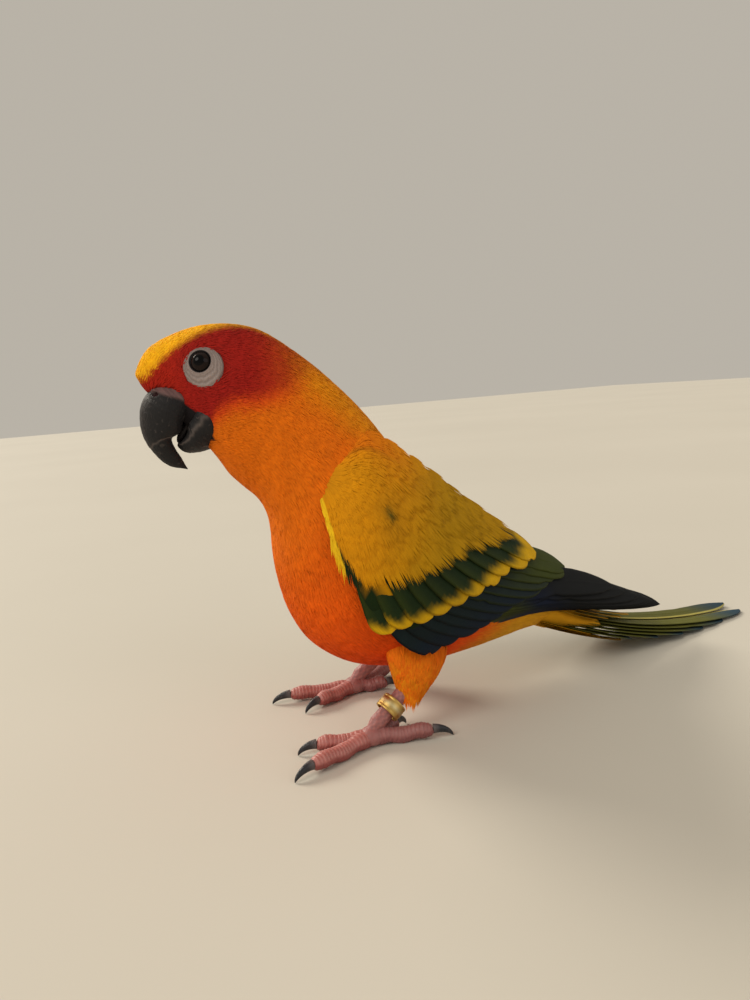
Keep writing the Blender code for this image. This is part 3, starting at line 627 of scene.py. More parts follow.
def barb_material(name, roughness=0.62):
    """Flight feathers: the markings crossed by slanting barbs, in colour and in bump."""
    made, shader, node, link = new_material(name, roughness)
    shader.inputs["Specular IOR Level"].default_value = 0.15
    markings = node("ShaderNodeAttribute", attribute_name="markings")
    barb = node("ShaderNodeAttribute", attribute_name="barb")
    split = node("ShaderNodeSeparateXYZ")
    link(barb.outputs["Vector"], split.inputs["Vector"])
    reach = node("ShaderNodeMath", operation="ABSOLUTE")
    link(split.outputs["X"], reach.inputs[0])
    behind = node("ShaderNodeMath", operation="SUBTRACT")
    link(split.outputs["Y"], behind.inputs[0])
    link(reach.outputs[0], behind.inputs[1])
    turns = node("ShaderNodeMath", operation="MULTIPLY")
    turns.inputs[1].default_value = 2 * math.pi / 0.55
    link(behind.outputs[0], turns.inputs[0])
    wave = node("ShaderNodeMath", operation="SINE")
    link(turns.outputs[0], wave.inputs[0])
    height = node("ShaderNodeMapRange")
    height.inputs["From Min"].default_value = -1.0
    link(wave.outputs[0], height.inputs["Value"])
    mottle = noise_on_object(node, link, 420.0)
    lines = scaled(node, link, height.outputs["Result"], 0.84, 1.1)
    patches = scaled(node, link, mottle.outputs["Fac"], 0.8, 1.2)
    lined = times(node, link, markings.outputs["Color"], lines)
    link(times(node, link, lined, patches), shader.inputs["Base Color"])
    bumped(node, link, shader, height.outputs["Result"], 0.1, 0.4)
    return made


SOFT_FEATHER = plumage_material("soft feather")
SKIN_UNDER = plumage_material("skin under the coat", 0.9)
BARBED_FEATHER = barb_material("barbed feather")
print("materials:", [m.name for m in (SOFT_FEATHER, SKIN_UNDER, BARBED_FEATHER)])

# %% [markdown]
# The skin is one closed body: torso and head, both thighs, the arms of the wings and the fleshy
# root of the tail, joined by a Boolean so that no seam is left. It lies under the plumage by the
# coat's depth, shallow on the face and deeper on the breast, and carries the same markings.


# %% Wing markings, and the skin
# Green shows in front of this share across the wing, for each row along it.
GREEN_ROWS, GREEN_SHARES = (0.68, 0.95, 1.21, 1.6, 1.9, 2.3), (1.02, 0.985, 0.95, 0.91, 0.87, 0.82)
# The shoulder's upper edge, as a share across the wing, under which the mantle's orange ends.
SHOULDER_EDGE = 0.145


def wing_colour(s, t):
    """Mantle orange over the shoulder's edge with a painted shade line in its crease, then gold coverts with a dusky
    spot, green and a painted highlight as a bright line in front.
    """
    colour = mix(WING_GOLD, MANTLE_GOLD, smooth_step((0.35 - t) / 0.3) * smooth_step((3.0 - s) / 2.0))
    above = smooth_step((SHOULDER_EDGE - t) / 0.03) * smooth_step((2.0 - s) / 1.2)
    colour = mix(colour, mix(NECK_ORANGE, MANTLE_GOLD, 0.35 + 0 * s), above)
    # Painted shade: a thin darker line along the crease at the shoulder's edge.
    crease_shade = np.exp(-((t - SHOULDER_EDGE) / 0.02) ** 2) * smooth_step((1.7 - s) / 0.8)
    colour = mix(colour, CREASE_SHADE, 0.45 * crease_shade)
    colour = mix(colour, WING_LOW, smooth_step((s - 1.2) / 1.6))
    cloud = np.exp(-(((s - 1.5) / 0.3) ** 2 + ((t - 0.5) / 0.12) ** 2))
    spot = np.exp(-(((s - 1.55) / 0.1) ** 2 + ((t - 0.48) / 0.035) ** 2))
    colour = mix(colour, OLIVE_SPOT, 0.25 * cloud + 0.7 * spot)
    low = smooth_step((t - np.interp(s, GREEN_ROWS, GREEN_SHARES)) / 0.02) * smooth_step((s - 0.6) / 0.15)
    colour = mix(colour, COVERT_GREEN, low)
    # Painted highlight: a bright yellow line along the wing's front edge.
    return mix(colour, WING_EDGE_HIGHLIGHT, smooth_step((t - 1.024) / 0.01) * smooth_step((2.9 - s) / 0.6))


def wing_bake(side):
    """The wing unrolled on its own half of the sheet."""
    def sheet(s, t):
        return np.stack([0.5 + side * (0.03 + 0.42 * np.clip(t, 0, 1)), 0.03 + 0.94 * np.clip(s / 7.0, 0, 1)], -1)

    return sheet


def loft(rings, colour):
    """One closed tube from rings, with a colour for each ring point."""
    return closed_tubes(rings[None], rings[:1].mean(axis=1), rings[-1:].mean(axis=1), colour=colour[None])


def full_circle(count):
    """Angles of evenly spaced points round a ring."""
    return np.arange(count) * 2 * math.pi / count


def skin_depth(section):
    """How far the skin lies under the plumage: 0.45 mm on the face, 1.2 mm on the breast."""
    return 0.45 + 0.75 * smooth_step((section - 3.5) / 5.0)


def wing_arm(side):
    """The fleshy arm under the coverts: an outer sheet sunk below the feathers and an inner one near the body."""
    s = np.linspace(0.05, 3.5, 24)[:, None]
    narrow = 0.12 * smooth_step((s - 2.0) / 1.5)
    share = narrow + (1 - 2 * narrow) * np.linspace(0.02, 0.98, 14)
    sunk = -1.6 * smooth_step((s - 1.6) / 1.6) - 0.9 * smooth_step((s - 2.5)) - 0.5
    deep = sunk - 5.0 + 2.5 * smooth_step((s - 2.2) / 1.2) + 1.5 * smooth_step((0.6 - s) / 0.6)
    outer, inner = wing(side)(s, share, sunk), wing(side)(s, share[:, ::-1], deep)
    colour = np.concatenate([wing_colour(s + 0 * share, share), wing_colour(s + 0 * share, share[:, ::-1])], axis=1)
    return loft(np.concatenate([outer, inner], axis=1), colour)


def skin_parts():
    """The lofts that the skin is joined from, with their colours."""
    section, around = np.meshgrid(np.linspace(0, LAST_SECTION, 130), full_circle(96), indexing="ij")
    made = [loft(body(section, around, -skin_depth(section)), body_colour(section, around))]
    angles = full_circle(48)
    for side in (LEFT, RIGHT):
        made.append(wing_arm(side))
        p, q = np.meshgrid(np.linspace(0, 2.9, 24), full_circle(40), indexing="ij")
        made.append(loft(thigh(side)(p, q, -1.0), np.broadcast_to(BELLY_ORANGE, (*p.shape, 3))))
    distance = np.linspace(2.0, 29.0, 18)
    tall = np.interp(distance, (2.0, 10.0, 19.0, 29.0), (5.6, 5.6, 3.6, 2.0))
    wide = np.interp(distance, (2.0, 10.0, 19.0, 29.0), (7.4, 7.8, 8.0, 7.4))
    root = tail(distance[:, None], np.sin(angles) * wide[:, None], np.cos(angles) * tall[:, None])
    made.append(loft(root, np.broadcast_to(VENT_YELLOW, (*root.shape[:2], 3))))
    return made


def joined(name, parts, material):
    """The parts in one Boolean union, each point coloured as the nearest point of the parts."""
    objects = [mesh_object(f"{name}_part_{i}", part, material) for i, part in enumerate(parts)]
    group = bpy.data.collections.new(name + " parts")
    for other in objects[1:]:
        group.objects.link(other)
    step = objects[0].modifiers.new("Union", "BOOLEAN")
    step.operation, step.operand_type, step.collection, step.solver = "UNION", "COLLECTION", group, "MANIFOLD"
    evaluated = objects[0].evaluated_get(bpy.context.evaluated_depsgraph_get())
    mesh = bpy.data.meshes.new_from_object(evaluated)
    whole = join(parts)
    tree = KDTree(len(whole["points"]))
    for i, point in enumerate((whole["points"] + SHIFT) * MM):
        tree.insert(point, i)
    tree.balance()
    nearest = [tree.find(v.co)[1] for v in mesh.vertices]
    for old in [a.name for a in mesh.color_attributes]:
        mesh.color_attributes.remove(mesh.color_attributes[old])
    layer = mesh.color_attributes.new("markings", "FLOAT_COLOR", "POINT")
    rgba = np.column_stack([whole["colour"][nearest], np.ones(len(nearest))])
    layer.data.foreach_set("color", rgba.astype(np.float32).ravel())
    for other in objects:
        bpy.data.objects.remove(other)
    bpy.data.collections.remove(group)
    mesh.shade_smooth()
    made = bpy.data.objects.new(name, mesh)
    bpy.context.scene.collection.objects.link(made)
    return made


skin = joined("skin", skin_parts(), SKIN_UNDER)
finish_piece(skin, "breast_plumage", "head", "neck", "torso", "rump", "thigh_left", "thigh_right")

# %% [markdown]
# The bill. A conure's upper bill is a deep hook with a keeled ridge, and the lower one a short
# scoop behind it. Both are horn, near black, worn and flaking, and paler along the cutting edges,
# with a soft bare cere round the nostrils; the pale rim of the lower bill is a painted highlight.
# The shape is the same kind of loft as the body, with finer rings.

# %% The bill's shape
# Columns: culmen x, culmen z, cutting edge x, cutting edge z, half width.
UPPER_BILL_SECTIONS = (
    (-34.5, 102.6, -26.5, 98.4, 5.4),
    (-38.9, 102.4, -29.8, 96.3, 6.9),
    (-41.7, 101.1, -32.3, 94.3, 7.9),
    (-44.2, 97.6, -33.9, 92.6, 7.6),
    (-45.0, 93.0, -35.0, 89.9, 6.6),
    (-44.4, 88.6, -37.4, 88.1, 5.2),
    (-42.2, 84.2, -36.9, 85.5, 3.5),
    (-39.0, 80.9, -35.6, 82.9, 2.0),
    (-34.3, 79.2, -33.9, 79.7, 0.4),
)
# Columns: front x, front z, rear x, rear z, half width.
LOWER_BILL_SECTIONS = (
    (-26.4, 96.8, -21.0, 90.0, 7.0),
    (-29.9, 95.0, -23.8, 87.0, 8.6),
    (-32.6, 92.6, -27.2, 84.6, 8.1),
    (-33.5, 89.8, -30.6, 83.8, 6.8),
    (-35.0, 87.8, -33.7, 83.9, 4.9),
    (-36.4, 87.0, -35.9, 85.0, 2.6),
)
BILL_BLACK = paint(20, 18, 20)
BILL_BROWN = paint(34, 28, 29)
BILL_TIP = paint(16, 15, 18)
BILL_PALE = paint(98, 88, 84)
CERE_GREY = paint(116, 86, 84)
# Painted shade for the nostril's hole.
NOSTRIL_SHADE = paint(50, 18, 22)
TONGUE_DARK = paint(26, 20, 22)


def bill_surface(sections, keel_at, square, cutting):
    """Ovals narrower on the ridge side by the keel, and square towards the side where the cosine is the cutting one."""
    rows = np.array(sections)

    def surface(p, q, lift=0.0):
        p, q, lift = np.broadcast_arrays(np.asarray(p, float), q, lift)
        row = blended(rows, p)
        middle, half = (row[..., 0:2] + row[..., 2:4]) / 2, (row[..., 0:2] - row[..., 2:4]) / 2
        length = np.linalg.norm(half, axis=-1)
        flat = middle + half * ((1 + lift / length) * np.cos(q))[..., None]
        power = 1 - square * (1 + cutting * np.cos(q)) / 2
        sideways = np.sign(np.sin(q)) * np.abs(np.sin(q)) ** power
        y = (row[..., 4] + lift) * sideways * (1 - keel_at(p) * np.cos(q))
        return turn_head(np.stack([flat[..., 0], y, flat[..., 1]], axis=-1), np.zeros(p.shape))

    return surface


upper_bill = bill_surface(UPPER_BILL_SECTIONS, lambda p: 0.3 * smooth_step((p - 1) / 3), 0.5, -1)
lower_bill = bill_surface(LOWER_BILL_SECTIONS, lambda p: np.full(np.shape(p), -0.15), 0.65, 1)


def waves(x, *seeds):
    """Uneven waves: a few sines of unlike lengths added up."""
    return sum(np.sin(x * k + 1.7 * i) for i, k in enumerate(seeds)) / len(seeds)


def upper_bill_piece():
    """Lifts: swollen cere, dented nostrils, a step where the new horn ends, and shallow flutes along the bill."""
    p, q = np.meshgrid(np.linspace(0, 8, 150), full_circle(120), indexing="ij")
    side = np.minimum(q, 2 * math.pi - q)
    cere_end = 2.05 - 0.75 * smooth_step((side - 0.5) / 1.6)
    cere = smooth_step((cere_end - p) / 0.25)
    nostril = np.exp(-(((p - 1.95) / 0.16) ** 2 + ((side - 0.80) / 0.13) ** 2))
    rim = np.exp(-((np.hypot((p - 1.95) / 0.30, (side - 0.80) / 0.25) - 1) / 0.35) ** 2)
    step_at = 5.15 + 0.45 * np.cos(side) + 0.05 * waves(side, 5.0, 9.0)
    plate = smooth_step((step_at - p) / 0.12)
    lift = 0.30 * cere - 1.1 * nostril + 0.16 * rim + 0.16 * plate
    lift += 0.035 * waves(q * 6 + p, 1.0, 2.3, 3.9) * (1 - cere) + 0.03 * waves(p * 8 + q, 1.0, 1.9)
    lift -= 0.05 * smooth_step((p - 6.5) / 1.5)
    brown = smooth_step((1.25 - side) / 0.9) * smooth_step((p - 2.0) / 0.6) * plate
    colour = mix(BILL_BLACK, BILL_BROWN, brown)
    colour = mix(colour, BILL_TIP, 1 - plate)
    colour = mix(colour, BILL_PALE, 0.55 * np.exp(-((p - step_at) / 0.07) ** 2))
    colour = mix(colour, BILL_PALE, 0.35 * np.exp(-((side - math.pi) / 0.35) ** 2) * smooth_step((p - 2) / 1))
    colour = mix(colour, CERE_GREY, smooth_step((cere_end + 0.12 - p) / 0.5) * (0.8 + 0.2 * waves(q * 5 + p * 9, 1.0, 2.3)))
    # Painted shade: the nostril's dent is painted dark red-brown.
    colour = mix(colour, NOSTRIL_SHADE, smooth_step(nostril * 2.2))
    rings = upper_bill(p, q, lift)
    middle = rings.mean(axis=1, keepdims=True)
    pointed = np.sqrt(1 - np.clip((p - 7.1) / 0.91, 0, 0.995) ** 2)
    return loft(middle + (rings - middle) * pointed[..., None], colour)


def lower_bill_piece():
    """Lifts: a swollen base, a raised rim along the cutting edge, painted pale as a highlight, and shallow growth rings
    under it.
    """
    p, q = np.meshgrid(np.linspace(0, 5, 90), full_circle(96), indexing="ij")
    front = np.cos(q)
    rim = np.exp(-((front - 0.45 - 0.06 * waves(p, 7.0, 11.0)) / 0.12) ** 2)
    lift = 0.12 * rim + 0.05 * waves(p * 7, 1.0, 2.1) * (front < 0.4) - 0.5 * smooth_step((front - 0.85) / 0.15)
    lift += 1.1 * smooth_step((1.9 - p) / 1.2)
    # Painted highlight: the raised rim along the cutting edge is painted pale.
    colour = mix(np.broadcast_to(BILL_BLACK, (*p.shape, 3)), BILL_PALE, 0.6 * rim)
    colour = mix(colour, BILL_TIP, smooth_step((front - 0.65) / 0.2))
    colour = mix(colour, BILL_PALE, 0.45 * smooth_step((-0.82 - front) / 0.1) * smooth_step((p - 2) / 2))
    rings = lower_bill(p, q, lift)
    middle = rings.mean(axis=1, keepdims=True)
    rounded = np.sqrt(1 - np.clip((p - 4.35) / 0.66, 0, 0.99) ** 2)
    return loft(middle + (rings - middle) * rounded[..., None], colour)


def tongue_piece():
    """A dark flattened egg that fills the mouth between the two halves of the bill."""
    tilt, around = np.meshgrid(np.linspace(0.05, math.pi - 0.05, 24), full_circle(32), indexing="ij")
    along, wide, thick = 5.4 * np.cos(tilt), 4.0 * np.sin(tilt) * np.cos(around), 1.5 * np.sin(tilt) * np.sin(around)
    x, z = -32.9 - 0.57 * along + 0.82 * thick, 91.3 - 0.82 * along - 0.57 * thick
    return loft(turn_head(np.stack([x, wide, z], axis=-1), np.zeros(x.shape)), np.broadcast_to(TONGUE_DARK, (*x.shape, 3)))


def horn_material(name, roughness, flake_scale):
    """Worn horn: the markings with pale flakes, fine scratches along it and uneven gloss."""
    made, shader, node, link = new_material(name, roughness)
    shader.inputs["Specular IOR Level"].default_value = 0.3
    markings = node("ShaderNodeAttribute", attribute_name="markings")
    flakes = noise_on_object(node, link, flake_scale, 8.0)
    flakes.inputs["Distortion"].default_value = 1.2
    edge = node("ShaderNodeMapRange")
    edge.inputs["From Min"].default_value = 0.60
    edge.inputs["From Max"].default_value = 0.72
    link(flakes.outputs["Fac"], edge.inputs["Value"])
    pale = node("ShaderNodeMix", data_type="RGBA")
    pale.inputs[7].default_value = (*BILL_PALE, 1.0)
    link(scaled(node, link, edge.outputs["Result"], 0.0, 0.45), pale.inputs[0])
    mottle = noise_on_object(node, link, flake_scale * 0.6)
    shade = scaled(node, link, mottle.outputs["Fac"], 0.7, 1.3)
    link(times(node, link, markings.outputs["Color"], shade), pale.inputs[6])
    link(pale.outputs[2], shader.inputs["Base Color"])
    gloss = scaled(node, link, flakes.outputs["Fac"], roughness - 0.12, roughness + 0.2)
    link(gloss, shader.inputs["Roughness"])
    scratches = noise_on_object(node, link, flake_scale * 5, 6.0, (1, 1, 0.35))
    bumped(node, link, shader, scratches.outputs["Fac"], 0.3, 0.6)
    return made


BILL_HORN = horn_material("bill horn", 0.6, 520.0)
bill_upper = mesh_object("bill_upper_horn", upper_bill_piece(), BILL_HORN)
bill_lower = mesh_object("bill_lower_horn", join([lower_bill_piece(), tongue_piece()]), BILL_HORN)
finish_piece(bill_upper, "bill_horn", "bill_upper")
finish_piece(bill_lower, "bill_horn", "bill_lower")

# %% [markdown]
# The eye is a dark glossy ball, seen through lids in a bare whitish ring whose wrinkles run round
# it. The ring is a closed band draped on the head: it starts against the ball, swells into the
# lid's margin, ripples outwards and dives under the feathers.

# %% Eyes, lids and bare rings
LID_INNER, RING_RADIUS, RING_TUCK = 2.55, 5.4, 6.1
# The ring is broader below and behind the eye: its middle lies this far down and back.
RING_DOWN, RING_BACK = 1.6, 0.4
RING_SKIN = paint(144, 128, 122)
RING_SHADE = paint(94, 78, 76)
LID_MARGIN = paint(30, 24, 26)


def eye_globe(side):
    """A ball whose pole looks out, coloured by the angle from the pole: pupil, brown iris, dark sclera."""
    place, along, across, out = eye_frame(side)
    centre = place - out * EYE_SUNK
    tilt, around = np.meshgrid(np.linspace(0.03, math.pi - 0.03, 44), full_circle(64), indexing="ij")
    flat = along * np.cos(around)[..., None] + across * np.sin(around)[..., None]
    way = flat * np.sin(tilt)[..., None] + out * np.cos(tilt)[..., None]
    cornea = 0.06 * smooth_step((0.75 - tilt) / 0.5)
    streaks = 0.5 + 0.5 * waves(around, 23.0, 41.0, 67.0)
    iris = paint(30, 20, 17) * (0.6 + 0.8 * streaks[..., None])
    colour = mix(np.broadcast_to(paint(6, 6, 8), iris.shape), iris, smooth_step((tilt - 0.46) / 0.06))
    colour = mix(colour, paint(12, 10, 11), smooth_step((tilt - 0.86) / 0.10))
    rings = centre + way * (EYE_RADIUS + cornea - 0.06)[..., None]
    return loft(rings, colour)


def ring_places(side, radius, angle):
    """Section and round of points at a radius and angle; the circle's middle drifts down and back on the way out."""
    drift = smooth_step((radius - 3.2) / (RING_RADIUS - 3.2))
    x = radius * np.cos(angle) + RING_BACK * drift
    y = radius * np.sin(angle) + RING_DOWN * side * drift
    heading, distance = np.arctan2(y, x), np.hypot(x, y)
    p, q = np.full(x.shape, EYE_SECTION), np.full(x.shape, EYE_ROUND * side)
    steps = 6
    for _ in range(steps):
        p, q = walk(body, p, q, heading, distance / steps)
    return p, q


def eye_ring(side):
    """Height by radius: tucked behind the lid, a rounded margin, faint ripples, then down under the feathers."""
    count_up = 72
    radius = np.concatenate([
        np.linspace(LID_INNER, RING_TUCK, count_up), np.linspace(RING_TUCK, LID_INNER, 8)[1:-1],
    ])
    angle = full_circle(132)[:, None]
    outer = np.arange(len(radius)) < count_up
    low = 0.5 + 0.5 * np.cos(angle - math.pi / 2 * side)
    uneven = 0.16 * waves(angle, 3.0, 5.0, 8.0, 13.0)
    fade = smooth_step((radius - 3.3) / 0.5) * (0.25 + 0.75 * low)
    ripple = np.cos((radius * (1 - 0.06 * low) + uneven) * 2 * math.pi / 0.66) * fade
    pleats = waves(angle + 0.15 * radius, 23.0, 37.0, 61.0) * smooth_step((radius - 3.1) / 0.6)
    height = 0.10 + 0.10 * np.exp(-((radius - 3.15) / 0.28) ** 2) - 0.32 * smooth_step((2.98 - radius) / 0.36)
    height = height + 0.06 * ripple + 0.035 * pleats - 1.1 * smooth_step((radius - 5.2) / 0.85)
    height = np.where(outer, height, -1.5)
    p, q = ring_places(side, radius + 0 * angle, angle + 0 * radius)
    place, _, _, _, _, out = frame_on(body, p, q)
    rings = place + out * height[..., None]
    share = 0.45 - 0.22 * ripple - 0.10 * pleats - 0.25 * low
    colour = mix(np.broadcast_to(RING_SKIN, rings.shape), RING_SHADE, share)
    colour = mix(colour, LID_MARGIN, smooth_step((3.12 - radius) / 0.22) + 0 * angle)
    count = len(radius)
    a, b = np.meshgrid(np.arange(len(angle)), np.arange(count), indexing="ij")
    after_a, after_b = (a + 1) % len(angle), (b + 1) % count
    quads = np.stack([a * count + b, after_a * count + b, after_a * count + after_b, a * count + after_b], -1)
    return {
        "points": rings.reshape(-1, 3), "quads": quads.reshape(-1, 4),
        "tris": np.zeros((0, 3), int), "colour": colour.reshape(-1, 3),
    }


def eye_material():
    """Wet and glossy, coloured by its markings."""
    made, shader, node, link = new_material("eye", 0.06)
    markings = node("ShaderNodeAttribute", attribute_name="markings")
    cloud = noise_on_object(node, link, 900.0)
    shade = scaled(node, link, cloud.outputs["Fac"], 0.85, 1.15)
    link(times(node, link, markings.outputs["Color"], shade), shader.inputs["Base Color"])
    shader.inputs["Specular IOR Level"].default_value = 0.05
    shader.inputs["Coat Weight"].default_value = 0.12
    shader.inputs["Coat Roughness"].default_value = 0.03
    return made


def skin_material(name, roughness, cell_scale, depth):
    """Bare skin: the markings with fine cells in bump and a little light passing through."""
    made, shader, node, link = new_material(name, roughness)
    shader.inputs["Subsurface Weight"].default_value = 0.12
    shader.inputs["Subsurface Radius"].default_value = (0.0012, 0.0006, 0.0004)
    shader.inputs["Subsurface Scale"].default_value = 1.0
    markings = node("ShaderNodeAttribute", attribute_name="markings")
    coordinates = node("ShaderNodeTexCoord")
    cells = node("ShaderNodeTexVoronoi", Scale=cell_scale)
    link(coordinates.outputs["Object"], cells.inputs["Vector"])
    cloud = noise_on_object(node, link, 500.0)
    shade = scaled(node, link, cloud.outputs["Fac"], 0.8, 1.2)
    link(times(node, link, markings.outputs["Color"], shade), shader.inputs["Base Color"])
    bumped(node, link, shader, cells.outputs["Distance"], depth, 0.5)
    return made


EYE = eye_material()
RING_BARE = skin_material("bare eye ring", 0.55, 3200.0, 0.08)
for name, side in SIDES.items():
    globe = mesh_object(f"eye_globe_{name}", eye_globe(side), EYE)
    finish_piece(globe, "eye", f"eye_{name}")
    lids = mesh_object(f"eye_ring_{name}", eye_ring(side), RING_BARE)
    finish_piece(lids, "head_plumage")

# %% [markdown]
# Body feathers. They point backwards along the sections, part round the bare eye ring like water
# round a stone, and are tiny on the face and longer on the breast and back. None grows where the
# bill leaves the head or deep under the folded wing, where nothing would show it.


# %% Where feathers grow, and which way
def solid_tree(bundle):
    """A search tree over a bundle's faces, in the frame's metres."""
    points = (bundle["points"] + SHIFT) * MM
    return BVHTree.FromPolygons(points.tolist(), triangles(bundle).tolist())


def covered(tree, points, out, reach):
    """True where a ray outwards from a point meets the shape within reach, in millimetres."""
    rays = zip((points + SHIFT) * MM, out)
    return np.array([tree.ray_cast(Vector(p), Vector(d), reach * MM)[0] is not None for p, d in rays])


bill_trees = [solid_tree(upper_bill_piece()), solid_tree(lower_bill_piece())]
arm_trees = [solid_tree(wing_arm(side)) for side in (LEFT, RIGHT)]
RING_MIDDLES = {}
for side in (LEFT, RIGHT):
    way = np.array([math.atan2(RING_DOWN * side, RING_BACK)])
    start = [np.array([EYE_SECTION]), np.array([EYE_ROUND * side])]
    middle = walk(body, *start, way, math.hypot(RING_DOWN, RING_BACK))
    RING_MIDDLES[side] = frame_on(body, *middle)[0][0]


def flow_round_eye(p, q):
    """Heading of the lie: straight back, turned near the ring as a stream turns round a post, and less behind it."""
    place, _, _, along, across, _ = frame_on(body, p, q)
    heading = np.zeros(np.shape(p))
    for middle in RING_MIDDLES.values():
        gap = place - middle
        x, y = dot(gap, along), dot(gap, across)
        bend = (RING_RADIUS / np.maximum(np.hypot(x, y), RING_RADIUS)) ** 2
        angle = np.arctan2(y, x)
        near = np.linalg.norm(gap, axis=-1) < 3.2 * RING_RADIUS
        turned = np.arctan2(-bend * np.sin(2 * angle), 1 - bend * np.cos(2 * angle))
        turned = turned * (1 - 0.65 * smooth_step(x / RING_RADIUS))
        heading = heading + np.where(near, turned, 0.0)
    return heading


def ring_distance(points):
    """Distance in millimetres from points to the middle of the nearer bare ring."""
    return np.minimum(*[np.linalg.norm(points - middle, axis=-1) for middle in RING_MIDDLES.values()])


def body_coat(name, span, q_range, spacing, length, width, blades, lifts, style):
    """Fans on one length of the body; spacing, length and width are functions of the section."""
    p, q = scattered(body, span, q_range, lambda p, q: spacing(p))
    place, _, _, _, _, out = frame_on(body, p, q)
    keep = bill_side(p, q) < 0.5
    if span[0] < TURN_FROM:
        for tree in bill_trees:
            keep &= ~covered(tree, place, out, 5.0)
        keep &= ring_distance(place) > RING_RADIUS + 0.05
    reach_p, reach_q = walk(body, p, q, np.zeros(len(p)), length(p))
    tips, _, _, _, _, tip_out = frame_on(body, reach_p, reach_q)
    for tree in arm_trees:
        keep &= ~(covered(tree, place, out, 9.0) & covered(tree, tips, tip_out, 9.0))
    p, q = p[keep], q[keep]
    heading = flow_round_eye(p, q) if span[0] < TURN_FROM else np.zeros(len(p))
    heading = heading + random.normal(0, 0.06, len(p))
    long = length(p) * random.uniform(0.9, 1.1, len(p))
    if span[0] < TURN_FROM:
        room = ring_distance(body(p, q)) - RING_RADIUS + 0.3
        inwards = ring_distance(body(*walk(body, p, q, heading, long))) < RING_RADIUS + 0.1
        long = np.where(inwards, np.clip(room, 0.6, long), long)
    wide = width(p) * random.uniform(0.92, 1.08, len(p))
    height = np.column_stack([-skin_depth(p) - 0.2, np.full(len(p), lifts[0]), np.full(len(p), lifts[1])])

    def coloured(section, around):
        drift = np.repeat(random.normal(0, 1, len(p)), blades)[:, None] + random.normal(0, 0.6, (len(section), 1))
        return body_colour(section + 0.06 * drift, around + 0.03 * drift, 0.0)

    print(name, "feathers:", len(p))
    return fans(body, p, q, heading, long, wide, blades, height, coloured, body_bake, style)


def by_section(*rows):
    """A smooth curve through pairs of section and value."""
    sections, values = zip(*rows)
    return lambda p: np.interp(p, sections, values)


# Columns: span, slot, spacing, length, width, blades, lifts, style.
COATS = {
    "face": (
        (0.1, 3.1), "head_plumage", by_section((0, 0.34), (3, 0.40)),
        by_section((0, 2.2), (3, 2.8)), by_section((0, 0.62), (3, 0.75)), 4, (0.02, 0.10), VELVET,
    ),
    "head": (
        (3.0, 5.35), "head_plumage", by_section((3, 0.42), (5.3, 0.64)),
        by_section((3, 3.0), (5.3, 5.2)), by_section((3, 0.8), (5.3, 1.3)), 4, (0.0, 0.12), VELVET,
    ),
    "neck": (
        (5.2, 7.7), "neck_plumage", by_section((5, 0.80), (7.7, 1.08)),
        by_section((5, 5.0), (7.7, 8.5)), by_section((5, 1.9), (7.7, 3.2)), 8, (-0.02, 0.18), SOFT,
    ),
    "breast": (
        (7.5, 10.3), "breast_plumage", by_section((7.5, 1.2), (10, 1.35)),
        by_section((7.5, 8.5), (10, 10.0)), by_section((7.5, 3.4), (10, 4.4)), 12, (-0.02, 0.22), SOFT,
    ),
    "belly": (
        (10.1, 13.3), "breast_plumage", by_section((10, 1.35), (13, 1.4)),
        by_section((10, 10.0), (13, 11.0)), by_section((10, 4.4), (13, 4.6)), 12, (-0.02, 0.25), SOFT,
    ),
    "rump": (
        (13.1, 15.4), "rump_plumage", by_section((13, 1.4), (15, 1.3)),
        by_section((13, 11.0), (15.4, 9.5)), by_section((13, 4.6), (15.4, 4.0)), 12, (-0.02, 0.25), SOFT,
    ),
}
for part, (span, slot, *shape) in COATS.items():
    for name, side in SIDES.items():
        q_range = (0.0, math.pi) if side == RIGHT else (-math.pi, 0.0)
        coat = mesh_object(f"coat_{part}_{name}", body_coat(part, span, q_range, *shape), SOFT_FEATHER, False)
        finish_piece(coat, slot)


# %% Thigh feathers
def thigh_bake(side):
    """The thigh unrolled on a corner of the sheet."""
    def sheet(p, q):
        return np.stack([0.5 + side * (0.04 + 0.3 * (q % (2 * math.pi)) / 6.3), 0.62 + 0.1 * np.clip(p, 0, 3)], -1)

    return sheet


def thigh_coat(side):
    """Fans down the thigh, the lowest ones hanging past it over the ankle."""
    surface = thigh(side)
    p, q = scattered(surface, (0.1, 2.95), (0, 2 * math.pi), lambda p, q: 1.1 - 0.12 * p)
    turn = random.normal(0, 0.08, len(p))
    long = (8.0 - 1.0 * p) * random.uniform(0.65, 1.15, len(p))
    share = np.repeat(random.uniform(0, 1, len(p)), 9)[:, None]

    def coloured(section, around):
        gold = 0.25 + 0.6 * smooth_step(section / 2.6) * share
        return mix(BREAST_ORANGE, THIGH_GOLD, gold + 0 * section)

    return fans(surface, p, q, turn, long, 3.4 - 0.5 * p, 9, (-1.1, 0.0, 0.15), coloured, thigh_bake(side), SOFT)


for name, side in SIDES.items():
    coat = mesh_object(f"coat_thigh_{name}", thigh_coat(side), SOFT_FEATHER, False)
    finish_piece(coat, "breast_plumage")

# %% [markdown]
# Flight and tail feathers are vanes: thin blades of a lens-shaped section with a raised shaft,
# a round tip, small splits where barbs have parted, and one edge lying over the next feather.
# They stay single closed tubes, so the whole wing is still worked out in a few array lines.

# %% Vanes
VANE_AT = np.concatenate([np.linspace(0, 0.7, 15), 0.7 + 0.3 * np.sin(np.linspace(0, math.pi / 2, 12)[1:])])
VANE_COLUMNS = np.array([1.0, 0.82, 0.62, 0.42, 0.22, 0.07, 0.0, -0.07, -0.22, -0.42, -0.62, -0.82, -1.0])


def vane_outline(at, round_from, pointed):
    """Half width by share of length: rises from the base, then follows an ellipse to the tip."""
    base = 0.45 + 0.55 * smooth_step(at / 0.35)
    over = np.clip((at - round_from) / (1 - round_from), 0, 0.998)
    return base * (1 - over ** 2) ** pointed


